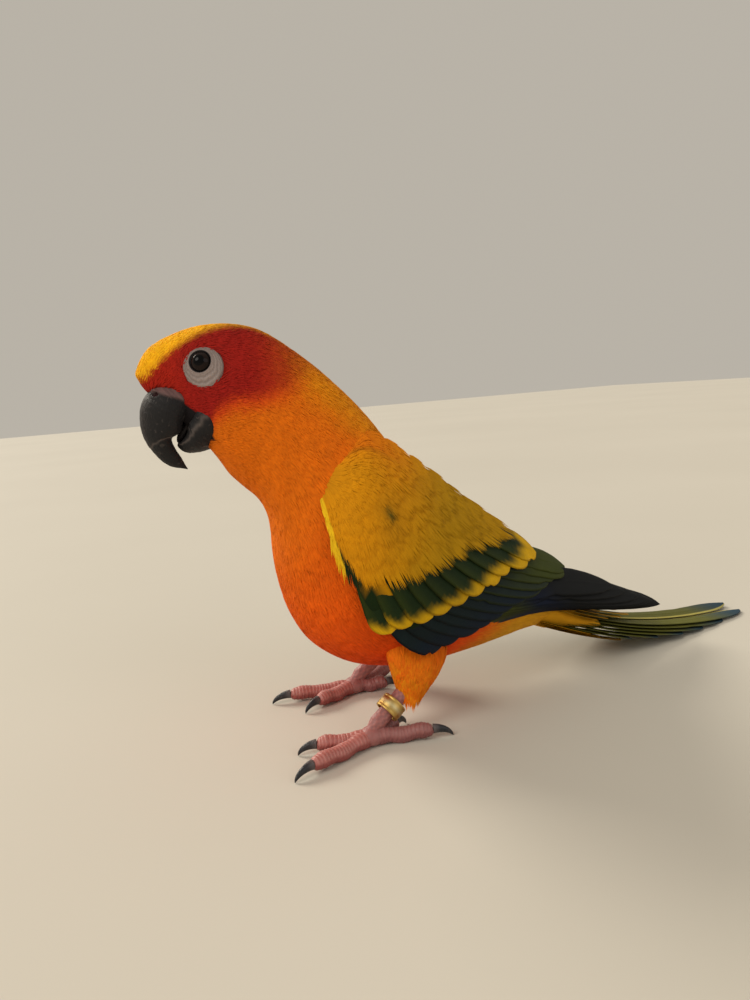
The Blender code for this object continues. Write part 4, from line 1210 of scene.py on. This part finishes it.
def vanes(surface, p, q, depth, width, lean, colour_at, cell, round_from=0.8, pointed=0.5, thick=0.24):
    """Vanes along rows of p and q (copies, shares): each ring goes over the top and back under."""
    count, shares = p.shape
    centre, _, _, _, _, out = frame_on(surface, p, q, -depth)
    ahead = unit(np.gradient(centre, axis=1))
    across = unit(np.cross(ahead, out))
    apart = np.gradient(centre, axis=0)
    across = across * -np.sign(dot(across, apart).mean(axis=1))[:, None, None]
    up = unit(out - ahead * dot(out, ahead)[..., None])
    lean = np.broadcast_to(lean, (count, shares))[..., None]
    across, up = across * np.cos(lean) + up * np.sin(lean), up * np.cos(lean) - across * np.sin(lean)
    half = vane_outline(VANE_AT, round_from, pointed) * width[:, None] / 2
    split = np.where(random.uniform(0, 1, (2, count, shares)) < 0.03, random.uniform(0.8, 0.93, (2, count, shares)), 1)
    split = split * random.uniform(0.985, 1.01, (2, count, shares))
    u = np.concatenate([VANE_COLUMNS, VANE_COLUMNS[-2:0:-1]])
    top = np.arange(len(u)) < len(VANE_COLUMNS)
    edge = smooth_step((np.abs(u) - 0.55) / 0.45)
    reach = np.where(u > 0, split[0][..., None], split[1][..., None])
    sideways = half[..., None] * u * (1 + (reach - 1) * edge)
    lens = thick / 2 * np.sqrt(1 - np.minimum(u * u, 1)) * np.where(top, 1, -1)
    shaft = 0.22 * np.exp(-(u / 0.06) ** 2) * top
    ripple = 0.03 * np.sin(u * 9 + np.arange(shares)[:, None] * 1.3) * (1 - np.abs(u)) * top
    height = lens + shaft * (1 - VANE_AT)[:, None] ** 0.5 - 0.035 * (width / 2)[:, None, None] * u * u + ripple
    rings = centre[:, :, None] + across[:, :, None] * sideways[..., None] + up[:, :, None] * height[..., None]
    length = np.linalg.norm(np.diff(centre, axis=1), axis=-1).sum(axis=1)
    share = np.linspace(0, 1, count)[:, None, None]
    colour = colour_at(*np.broadcast_arrays(share, VANE_AT[None, :, None], u[None, None, :]))
    colour = colour * random.normal(1, 0.07, (count, 1, 1, 1))
    barb = np.stack(np.broadcast_arrays(
        sideways, VANE_AT[None, :, None] * length[:, None, None], share
    ), axis=-1)
    low, high = np.array(cell[0]), np.array(cell[1])
    slot = (np.arange(count) + 0.5) / count
    size = (high[0] - low[0]) / count
    sheet_x = low[0] + (high[0] - low[0]) * slot[:, None, None] + size * np.where(top, 0.2, -0.22) + size * 0.2 * u
    sheet_y = low[1] + (high[1] - low[1]) * VANE_AT[None, :, None] + 0 * u
    bake = np.stack(np.broadcast_arrays(sheet_x, sheet_y), axis=-1)
    tip = centre[:, -1] + ahead[:, -1] * 0.05
    return closed_tubes(rings, centre[:, 0], tip, colour=colour, barb=barb, bake=bake)


# %% [markdown]
# The folded wing has its feathers in tiers. Primaries lie deepest and reach furthest back,
# secondaries cover them, green coverts with golden tips cover those, and gold coverts form the
# smooth shoulder. Each tier starts and ends on a line across the wing.

# %% The wing's tiers
# Rows run along the wing and shares from its back edge to its front edge.
WING_TIERS = {
    "primary": dict(
        count=9, roots=((1.6, 0.88), (2.7, 0.62)), tip_shares=(0.92, 0.30),
        tip_rows=(6.6, 7.0, 6.8, 6.45, 6.0), widths=(8.5, 10.0), depths=((3.8, 7.8, 4.6), (3.2, 4.4, 1.0)),
        lean=0.0, round_from=0.72, pointed=0.62,
    ),
    "secondary": dict(
        count=12, roots=((2.0, 0.82), (2.9, 0.20)), tip_shares=(0.97, 0.12),
        tip_rows=(3.55, 3.95, 4.25, 4.55, 4.85, 5.15), widths=(10.5, 10.0), depths=((2.9, 2.8, 2.4), (2.9, 2.7, 2.4)),
        lean=0.10, round_from=0.82, pointed=0.5,
    ),
    "greater_covert": dict(
        count=10, roots=((1.1, 0.74), (2.5, 0.08)), tip_shares=(0.985, 0.12),
        tip_rows=(2.55, 2.85, 3.2, 3.5, 3.8, 4.15, 4.45), widths=(10.0, 11.5),
        depths=((1.7, 1.4, 1.0), (1.7, 1.4, 1.0)), lean=0.09, round_from=0.80, pointed=0.5,
    ),
}


def primary_colour(share, v, u):
    """Olive outer webs near the coverts, then blue, then black tips."""
    colour = mix(np.broadcast_to(FLIGHT_OLIVE, (*v.shape, 3)), FLIGHT_BLUE, smooth_step((v - 0.50 + 0.08 * share) / 0.12))
    colour = mix(colour, FLIGHT_BLACK, smooth_step((v - 0.62 + 0.1 * share) / 0.16))
    return mix(colour, FLIGHT_BLACK, 0.75 * smooth_step((-u - 0.1) / 0.3))


def secondary_colour(share, v, u):
    """Teal webs, with the ones nearest the back turning olive green at the edge and tip."""
    teal = mix(np.broadcast_to(FLIGHT_TEAL, (*v.shape, 3)), FLIGHT_BLUE, 0.5 * smooth_step((v - 0.6) / 0.3))
    olive = smooth_step((share - 0.55) / 0.4) * smooth_step((v - 0.45) / 0.3)
    colour = mix(teal, FLIGHT_OLIVE, 0.85 * olive)
    return mix(colour, FLIGHT_OLIVE, 0.7 * smooth_step((np.abs(u) - 0.86) / 0.1) * smooth_step((share - 0.3) / 0.4))


def greater_colour(share, v, u):
    """Deep green with a golden tip, higher up the edges than along the shaft, and larger towards the back."""
    start = 0.87 - 0.07 * share - 0.10 * u * u + 0.02 * np.sin(u * 7 + share * 40)
    green = mix(np.broadcast_to(COVERT_GREEN, (*v.shape, 3)), FLIGHT_OLIVE, 0.35 * smooth_step((np.abs(u) - 0.3) / 0.6))
    return mix(green, COVERT_TIP, smooth_step((v - start) / 0.12))


TIER_COLOURS = {"primary": primary_colour, "secondary": secondary_colour, "greater_covert": greater_colour}


def tier_paths(plan):
    """Rows and shares of every feather of a tier, straight from its root line to its tip line."""
    count = plan["count"]
    u = np.linspace(0, 1, count)
    first, last = np.array(plan["roots"])
    roots = first + (last - first) * u[:, None]
    rows = np.interp(u, np.linspace(0, 1, len(plan["tip_rows"])), plan["tip_rows"])
    rows = rows + random.normal(0, 0.03, count)
    tips = np.column_stack([rows, np.interp(u, (0, 1), plan["tip_shares"])])
    way = roots[:, None] + (tips - roots)[:, None] * VANE_AT[:, None]
    first, last = (np.interp(VANE_AT, (0.0, 0.4, 1.0), depth) for depth in plan["depths"])
    return way[..., 0], way[..., 1], first + (last - first) * u[:, None]


def flight_feathers(side):
    """Three tiers of vanes for one wing."""
    made = []
    for i, (tier, plan) in enumerate(WING_TIERS.items()):
        p, q, depth = tier_paths(plan)
        width = np.linspace(*plan["widths"], plan["count"])
        cell = ((0.02, 0.02 + 0.32 * i), (0.98, 0.31 + 0.32 * i))
        made.append(vanes(
            wing(side), p, q, depth, width, plan["lean"], TIER_COLOURS[tier], cell,
            plan["round_from"], plan["pointed"],
        ))
    return join(made)


# How far down the wing the gold coverts reach, by the share across it from its back edge.
GOLD_SHARES = (0.0, 0.16, 0.35, 0.55, 0.75, 0.9, 1.0)
GOLD_ENDS = (4.25, 3.95, 3.4, 2.85, 2.35, 1.95, 1.5)
WING_WIDTH_ROWS, WING_WIDTHS = (0, 1, 2, 3, 4), (13, 36, 46, 48, 39)
MM_A_ROW = 17.5
# Columns: first and last row from the lowest, length, gap between feathers, strands in each.
COVERT_GROUPS = ((0, 3, 14.5, 4.1, 44), (3, 7, 11.0, 3.3, 32), (7, 12, 8.0, 2.6, 22), (12, 17, 6.0, 2.1, 16))
COVERT_ROWS = 17.0


def wing_coverts(side):
    """Gold coverts in rows like roof tiles; each row ends at a share of the way to the line where they stop."""
    made = []
    for first, last, length, gap, blades in COVERT_GROUPS:
        places = []
        for row in range(first, last):
            reach = 1 - row / COVERT_ROWS
            count = int(np.interp(3.0 * reach, WING_WIDTH_ROWS, WING_WIDTHS) / gap)
            t = (np.arange(count) + 0.25 + 0.5 * (row % 2)) / count + random.normal(0, 0.12 / count, count)
            end = np.interp(t, GOLD_SHARES, GOLD_ENDS) * reach + random.normal(0, 0.035, count)
            places.append(np.column_stack([end, t]))
        end, t = np.concatenate(places).T
        turn = 0.26 * smooth_step((end - 0.6) / 1.6) * smooth_step(t / 0.3)
        long = length * random.uniform(0.94, 1.06, len(t))
        p = np.maximum(end - long * np.cos(turn) / MM_A_ROW, -0.1)
        wide = np.full(len(t), gap * 1.75)
        across = np.interp(p, WING_WIDTH_ROWS, WING_WIDTHS)
        q = np.clip(t - long * np.sin(turn) / across, 0.42 * wide / across, 0.985)
        at_back = smooth_step((0.16 - q) / 0.1)
        lifts = np.column_stack([-0.8 + 0 * q, -0.06 - 0.1 * at_back, 0.14 - 0.24 * at_back])
        heading = turn + 0.04 * at_back + random.normal(0, 0.03, len(t))
        made.append(fans(
            wing(side), p, q, heading, long, wide, blades, lifts, wing_colour, wing_bake(side), WEBBED,
        ))
    print("gold coverts:", sum(len(bundle["points"]) for bundle in made), "points")
    return join(made)


for name, side in SIDES.items():
    flight = mesh_object(f"flight_feathers_{name}", flight_feathers(side), BARBED_FEATHER)
    finish_piece(flight, "wing_feathers", f"wing_{name}")
    coverts = mesh_object(f"wing_coverts_{name}", wing_coverts(side), SOFT_FEATHER, False)
    finish_piece(coverts, "wing_feathers")

# %% [markdown]
# The tail has twelve long graduated feathers: the middle pair longest and on top, each next pair
# shorter and lower, with pale yellow edges. Coverts above and below hide where they start.


# %% Tail feathers
def tail_colour(share, v, u):
    """Olive with a bluish tip, pale yellow on the outer edge."""
    colour = mix(np.broadcast_to(TAIL_OLIVE, (*v.shape, 3)), TAIL_TIP, smooth_step((v - 0.72) / 0.25))
    return mix(colour, TAIL_EDGE, 0.9 * smooth_step((u - 0.72) / 0.12))


def covert_colour(share, v, u):
    """Yellow green at the base, deeper green along the shaft, with a golden edge."""
    colour = mix(np.broadcast_to(FLIGHT_OLIVE, (*v.shape, 3)), RUMP_GOLD, smooth_step((np.abs(u) - 0.45) / 0.4))
    return mix(colour, VENT_YELLOW, 0.5 * smooth_step((v - 0.8) / 0.15))


def tail_paths(count, root, tips, spreads, offsets, lifts, side):
    """Distances, sideways places and depths of one side's feathers, from the middle one out."""
    u = np.linspace(0, 1, count)[:, None]
    tip = tips[0] + (tips[1] - tips[0]) * u + random.normal(0, 0.5, (count, 1))
    distance = root + (tip - root) * VANE_AT
    spread = np.radians(spreads[0] + (spreads[1] - spreads[0]) * u)
    sideways = side * (offsets[0] + (offsets[1] - offsets[0]) * u + np.tan(spread) * (distance - root))
    lift = lifts[0] + (lifts[1] - lifts[0]) * u
    return distance, sideways, -(lift + 0 * distance)


TAIL_SETS = {
    "feathers": (6, 15.0, (106.0, 41.0), (0.2, 6.2), (3.7, 6.2), (1.6, -2.9), 9.0, tail_colour),
    "upper": (4, 4.0, (46.0, 26.0), (0.5, 5.0), (2.4, 5.6), (4.2, 1.6), 6.8, covert_colour),
    "under": (4, 4.0, (44.0, 24.0), (0.5, 6.0), (2.6, 5.8), (-5.0, -3.4), 7.2, covert_colour),
}


def tail_feathers():
    """Both sides of every set; the right middle feather lies over the left one."""
    made = []
    for row, (count, root, tips, spreads, offsets, lifts, width, colour) in enumerate(TAIL_SETS.values()):
        for side in (LEFT, RIGHT):
            p, q, depth = tail_paths(count, root, tips, spreads, offsets, lifts, side)
            depth[0] -= 0.7 * (side == RIGHT)
            low = (0.02 + 0.49 * (side == RIGHT), 0.02 + 0.32 * row)
            cell = (low, (low[0] + 0.46, low[1] + 0.29))
            made.append(vanes(tail, p, q, depth, np.full(count, width), -0.05, colour, cell, 0.86, 0.6))
    return join(made)


tail_piece = mesh_object("tail_feathers", tail_feathers(), BARBED_FEATHER)
finish_piece(tail_piece, "tail_feathers", "tail")

# %% [markdown]
# Feet. Two toes point forward and two back. Each toe is a tube whose top carries a row of
# overlapping scutes and whose underside has soft pads; the shank and palm have small round
# scales. The toes, palm and shank are joined by a Boolean, so that the skin is one surface.

# %% Feet
ANKLE, PALM = (15.0, 17.0, 12.5), (2.5, 18.0, 4.0)
SHANK_RADIUS, TOE_RADIUS = 2.3, 2.3
# Columns: heading from straight ahead (degrees, outwards positive), length, claw length.
TOES = {
    "outer_front": (16.0, 20.5, 8.0),
    "inner_front": (-17.0, 15.0, 7.0),
    "outer_rear": (158.0, 17.5, 7.5),
    "inner_rear": (202.0, 11.0, 6.0),
}
CLAW_TURN, CLAW_RADIUS, CLAW_TIP_HEIGHT, CLAW_GAP = math.radians(80.0), 1.35, 0.2, 0.3
SCUTE_LENGTH = 1.05
FOOT_PINK = paint(184, 112, 104)
FOOT_RED = paint(150, 74, 70)
FOOT_PURPLE = paint(116, 78, 80)
# Painted highlight for the scutes' crests.
SCUTE_HIGHLIGHT = paint(196, 150, 142)
CLAW_DARK = paint(44, 44, 48)
CLAW_BASE = paint(92, 84, 84)


def leg_ends(side):
    """The ankle and the middle of the palm of one leg."""
    out = np.array([1.0, side, 1.0])
    back = np.array([STEP_BACK[side], 0.0, 0.0])
    return np.array(ANKLE) * out + back, np.array(PALM) * out + back


def toe_path(heading, length, side, count=7):
    """Toe centre line on the floor from the palm outwards, arched over its middle joint."""
    angle = math.radians(heading) * side
    _, palm = leg_ends(side)
    u = np.linspace(0, 1, count)
    x = palm[0] - np.cos(angle) * length * u
    y = palm[1] + np.sin(angle) * length * u
    z = 1.9 + 0.5 * np.sin(u * 2 * math.pi) ** 2 + 0.8 * u ** 6
    return np.stack([x, y, z], axis=-1)


def tube_rings(centres, radii, sides):
    """Rings at right angles to a path, the first point of each on top; radii is one for each ring point."""
    ahead = unit(np.gradient(centres, axis=0))
    helper = np.where(np.abs(ahead[:, 2:3]) < 0.9, (0.0, 0.0, 1.0), (1.0, 0.0, 0.0))
    across = unit(np.cross(ahead, helper))
    up = np.cross(across, ahead)
    angle = full_circle(sides)
    spokes = up[:, None] * np.cos(angle)[:, None] + across[:, None] * np.sin(angle)[:, None]
    return centres[:, None] + spokes * radii[..., None]


def saw(x):
    """Rises evenly over each whole number, then drops in the last fifth."""
    part = x % 1.0
    return np.where(part < 0.8, part / 0.8, (1 - part) / 0.2)


def toe_piece(heading, length, side):
    """Radius: pads below, scutes above, a little slimmer at each joint."""
    u = np.linspace(0, 1, 110)
    angle = full_circle(36)
    centres = toe_path(heading, length, side, 110)
    pads = np.interp(u, np.linspace(0, 1, 7), (0.9, 1.05, 0.9, 1.05, 0.9, 1.0, 0.72)) * TOE_RADIUS
    end = np.sqrt(np.clip((1.0 - u) / 0.05, 0.0, 1.0)) * 0.35 + 0.65
    on_top = smooth_step((np.cos(angle) + 0.15) / 0.5)
    scutes = saw(u * length / SCUTE_LENGTH)[:, None] * on_top * 0.15
    grain = 0.10 * waves(u[:, None] * length * 5 + 3 * angle, 1.0, 1.7) * (1 - on_top)
    rings = tube_rings(centres, pads[:, None] * end[:, None] - 0.1 + scutes + grain, 36)
    rings[..., 2] = np.maximum(rings[..., 2], 0.0)
    colour = mix(np.broadcast_to(FOOT_RED, rings.shape), FOOT_PINK, 0.7 * on_top + 0 * u[:, None])
    # Painted highlight: each scute is paler towards its crest.
    colour = mix(colour, SCUTE_HIGHLIGHT, 0.35 * on_top * saw(u * length / SCUTE_LENGTH)[:, None] ** 2)
    if abs(heading) > 90:
        colour = mix(colour, FOOT_PURPLE, 0.5 + 0 * on_top + 0 * u[:, None])
    return loft(rings, colour)


def foot_parts(side):
    """Shank, palm and four toes."""
    ankle, palm = leg_ends(side)
    u = np.linspace(-0.12, 1.02, 60)
    angle = full_circle(40)
    centres = ankle + (palm - ankle) * u[:, None]
    shape = np.interp(u, (-0.12, 0.2, 0.6, 0.8, 1.02), (1.0, 0.95, 0.95, 1.0, 0.55)) * SHANK_RADIUS
    scales = 0.07 * np.sin(u[:, None] * 52) * np.sin(angle * 9 + 3.0 * np.floor(u[:, None] * 8.3))
    shank = tube_rings(centres, shape[:, None] + scales, 40)
    made = [loft(shank, mix(np.broadcast_to(FOOT_PURPLE, shank.shape), FOOT_PINK, 0.5 + 4 * scales))]
    tilt, around = np.meshgrid(np.linspace(0.05, math.pi - 0.05, 24), full_circle(36), indexing="ij")
    ball = np.stack([np.cos(around) * np.sin(tilt), np.sin(around) * np.sin(tilt), np.cos(tilt)], axis=-1)
    bumps = 1 + 0.02 * waves(tilt * 20, 1.0, 1.4) * waves(around * 9, 1.0, 2.0)
    pad = np.array([palm[0] + 0.4, palm[1], 2.55]) + ball * (3.7, 3.3, 2.75) * bumps[..., None]
    pad[..., 2] = np.maximum(pad[..., 2], 0.0)
    made.append(loft(pad, np.broadcast_to(mix(FOOT_PURPLE, FOOT_PINK, np.array(0.5)), pad.shape)))
    return made + [toe_piece(heading, length, side) for heading, length, _ in TOES.values()]


FOOT_SKIN = skin_material("foot skin", 0.48, 1500.0, 0.14)
for name, side in SIDES.items():
    foot = joined(f"foot_skin_{name}", foot_parts(side), FOOT_SKIN)
    finish_piece(foot, "foot_skin", f"foot_{name}")


# %% Claws
def claw_rings(heading, length, claw, side):
    """A quarter turn of a circle from the toe's end down to the floor, tapering along a root curve."""
    path = toe_path(heading, length, side)
    onward = unit(path[-1] - path[-2])
    level = unit(onward * np.array([1.0, 1.0, 0.0]))
    radius = claw / CLAW_TURN
    turned = np.linspace(0, CLAW_TURN, 40)
    start = math.asin(onward[2])
    reach = radius * (math.sin(start) - np.sin(start - turned))
    rise = radius * (np.cos(start - turned) - math.cos(start))
    centres = path[-1] + onward * CLAW_GAP * 0.2 + level * reach[:, None]
    centres[:, 2] += rise * (path[-1, 2] - CLAW_TIP_HEIGHT) / -rise[-1]
    angle = full_circle(28)
    share = turned / CLAW_TURN
    radii = CLAW_RADIUS * (1.03 - share)[:, None] ** 0.7 * (1 - 0.14 * np.sin(angle) ** 2)
    radii = radii + 0.03 * waves(share[:, None] * 60, 1.0, 1.6) * (1 - share[:, None])
    rings = tube_rings(centres, radii, 28)
    rings[..., 2] = np.maximum(rings[..., 2], 0.05)
    colour = mix(np.broadcast_to(CLAW_BASE, rings.shape), CLAW_DARK, smooth_step(share / 0.3)[:, None] + 0 * angle)
    return loft(rings, colour)


CLAW_HORN = horn_material("claw horn", 0.28, 420.0)
for name, side in SIDES.items():
    claws = join([claw_rings(*toe, side) for toe in TOES.values()])
    piece = mesh_object(f"claws_{name}", claws, CLAW_HORN)
    finish_piece(piece, "claw_horn", *[f"claw_{name}_{toe}" for toe in TOES])

# %% [markdown]
# The leg band is a short metal tube round the left shank. Its section is a rectangle with rounded
# corners and two shallow grooves, turned once round the leg. It is bare of any marks.

# %% Leg band
BAND_INNER, BAND_OUTER, BAND_HEIGHT, BAND_PLACE = 3.0, 3.7, 4.0, 0.42
BAND_GOLD = paint(196, 162, 92)
# Painted highlight for the band's outer face.
BAND_HIGHLIGHT = paint(214, 196, 146)


def leg_band():
    """Radius and height go round a rounded rectangle; grooves dip the outer face near both rims."""
    ankle, palm = leg_ends(LEFT)
    axis = unit(palm - ankle)
    middle = ankle + (palm - ankle) * BAND_PLACE
    first = unit(np.cross(axis, (0.0, 1.0, 0.0)))
    second = np.cross(axis, first)
    half, thick, power = BAND_HEIGHT / 2, (BAND_OUTER - BAND_INNER) / 2, 0.28
    t = full_circle(72)
    along = half * np.sign(np.sin(t)) * np.abs(np.sin(t)) ** power
    radial = (BAND_INNER + BAND_OUTER) / 2 + thick * np.sign(np.cos(t)) * np.abs(np.cos(t)) ** power
    groove = np.exp(-((np.abs(along) - half * 0.62) / 0.16) ** 2) * (np.cos(t) > 0)
    radial = radial - 0.10 * groove
    turn = full_circle(120)[:, None]
    spoke = first * np.cos(turn)[..., None] + second * np.sin(turn)[..., None]
    points = middle + spoke * radial[:, None] + axis * along[:, None]
    # Painted highlight: a paler stripe round the middle of the outer face.
    pale = smooth_step((half * 0.5 - np.abs(along)) / 0.15) * (np.cos(t) > 0)
    colour = mix(np.broadcast_to(BAND_GOLD, points.shape), BAND_HIGHLIGHT, pale + 0 * turn)
    a, b = np.meshgrid(np.arange(120), np.arange(72), indexing="ij")
    after_a, after_b = (a + 1) % 120, (b + 1) % 72
    quads = np.stack([a * 72 + b, after_a * 72 + b, after_a * 72 + after_b, a * 72 + after_b], -1)
    return {
        "points": points.reshape(-1, 3), "quads": quads.reshape(-1, 4),
        "tris": np.zeros((0, 3), int), "colour": colour.reshape(-1, 3),
    }


def metal_material():
    """Anodised gold, rubbed unevenly."""
    made, shader, node, link = new_material("band metal", 0.32, 1.0)
    markings = node("ShaderNodeAttribute", attribute_name="markings")
    rub = noise_on_object(node, link, 700.0, 6.0)
    shade = scaled(node, link, rub.outputs["Fac"], 0.8, 1.15)
    link(times(node, link, markings.outputs["Color"], shade), shader.inputs["Base Color"])
    link(scaled(node, link, rub.outputs["Fac"], 0.32, 0.6), shader.inputs["Roughness"])
    bumped(node, link, shader, rub.outputs["Fac"], 0.05, 0.3)
    return made


band = mesh_object("leg_band_metal", leg_band(), metal_material())
finish_piece(band, "band_metal", "leg_band")

# %% [markdown]
# The stage is a wide pale floor under soft lights. The camera stands where the photographer's
# was: a little above the bird, ahead of it on its left, tipped slightly down and rolled.

# %% Floor, lights and camera
floor_mesh = bpy.data.meshes.new("floor")
FLOOR_HALF = 4.0
floor_mesh.from_pydata(
    [(x * FLOOR_HALF, y * FLOOR_HALF, 0) for x, y in ((-1, -1), (1, -1), (1, 1), (-1, 1))], [], [(0, 1, 2, 3)]
)
floor = bpy.data.objects.new("floor", floor_mesh)
bpy.context.scene.collection.objects.link(floor)
floor_material, floor_shader, node, link = new_material("pale floor", 0.8)
cloud = noise_on_object(node, link, 3.0)
floor_tone = node("ShaderNodeMix", data_type="RGBA")
floor_tone.inputs[6].default_value = (*paint(196, 190, 178), 1)
floor_tone.inputs[7].default_value = (*paint(206, 200, 188), 1)
link(cloud.outputs["Fac"], floor_tone.inputs[0])
link(floor_tone.outputs[2], floor_shader.inputs["Base Color"])
floor_mesh.materials.append(floor_material)

world = bpy.data.worlds.new("studio")
world.use_nodes = True
world.node_tree.nodes["Background"].inputs["Color"].default_value = (*paint(232, 224, 210), 1)
world.node_tree.nodes["Background"].inputs["Strength"].default_value = 0.6
bpy.context.scene.world = world
bpy.context.scene.view_settings.view_transform = "Standard"

BIRD_MIDDLE = Vector((-0.02, 0.0, 0.06))
# Columns: place in metres, how wide the light looks in degrees, strength, colour.
LIGHTS = {
    "key": ((-1.2, -0.3, 1.0), 30.0, 1.15, (1.0, 0.95, 0.86)),
    "rim": ((-0.5, 1.2, 0.9), 24.0, 2.1, (1.0, 0.93, 0.80)),
    "fill": ((0.6, -1.4, 0.7), 40.0, 0.35, (0.97, 0.98, 1.0)),
}
for name, (place, width, power, tint) in LIGHTS.items():
    lamp = bpy.data.lights.new(name, "SUN")
    lamp.angle, lamp.energy, lamp.color = math.radians(width), power, tint
    holder = bpy.data.objects.new(name, lamp)
    holder.location = place
    holder.rotation_euler = (BIRD_MIDDLE - Vector(place)).to_track_quat("-Z", "Y").to_euler()
    bpy.context.scene.collection.objects.link(holder)

CAMERA_PLACE = np.array([-79.6, -195.9, 96.8])
CAMERA_LEVEL_WAY = np.array([0.4478, 0.8942, 0.0])
CAMERA_PITCH, CAMERA_ROLL, CAMERA_LENS = math.radians(8.3), math.radians(4.4), 27.0
up = np.array([0.0, 0.0, 1.0])
right = np.cross(CAMERA_LEVEL_WAY, up)
forward = CAMERA_LEVEL_WAY * math.cos(CAMERA_PITCH) - up * math.sin(CAMERA_PITCH)
down = -up * math.cos(CAMERA_PITCH) - CAMERA_LEVEL_WAY * math.sin(CAMERA_PITCH)
camera_right = math.cos(CAMERA_ROLL) * right + math.sin(CAMERA_ROLL) * down
camera_up = math.sin(CAMERA_ROLL) * right - math.cos(CAMERA_ROLL) * down
camera = bpy.data.objects.new("camera", bpy.data.cameras.new("camera"))
camera.data.lens = CAMERA_LENS
camera.data.clip_start, camera.data.clip_end = 0.01, 20.0
turned = np.column_stack([camera_right, camera_up, -forward])
camera.matrix_world = Matrix.LocRotScale(
    Vector((CAMERA_PLACE + SHIFT) * MM), Matrix(turned.tolist()).to_quaternion(), None
)
bpy.context.scene.collection.objects.link(camera)
bpy.context.scene.camera = camera
print("camera in metres:", [round(x, 4) for x in camera.location])

# %% The end
bpy.context.view_layer.update()
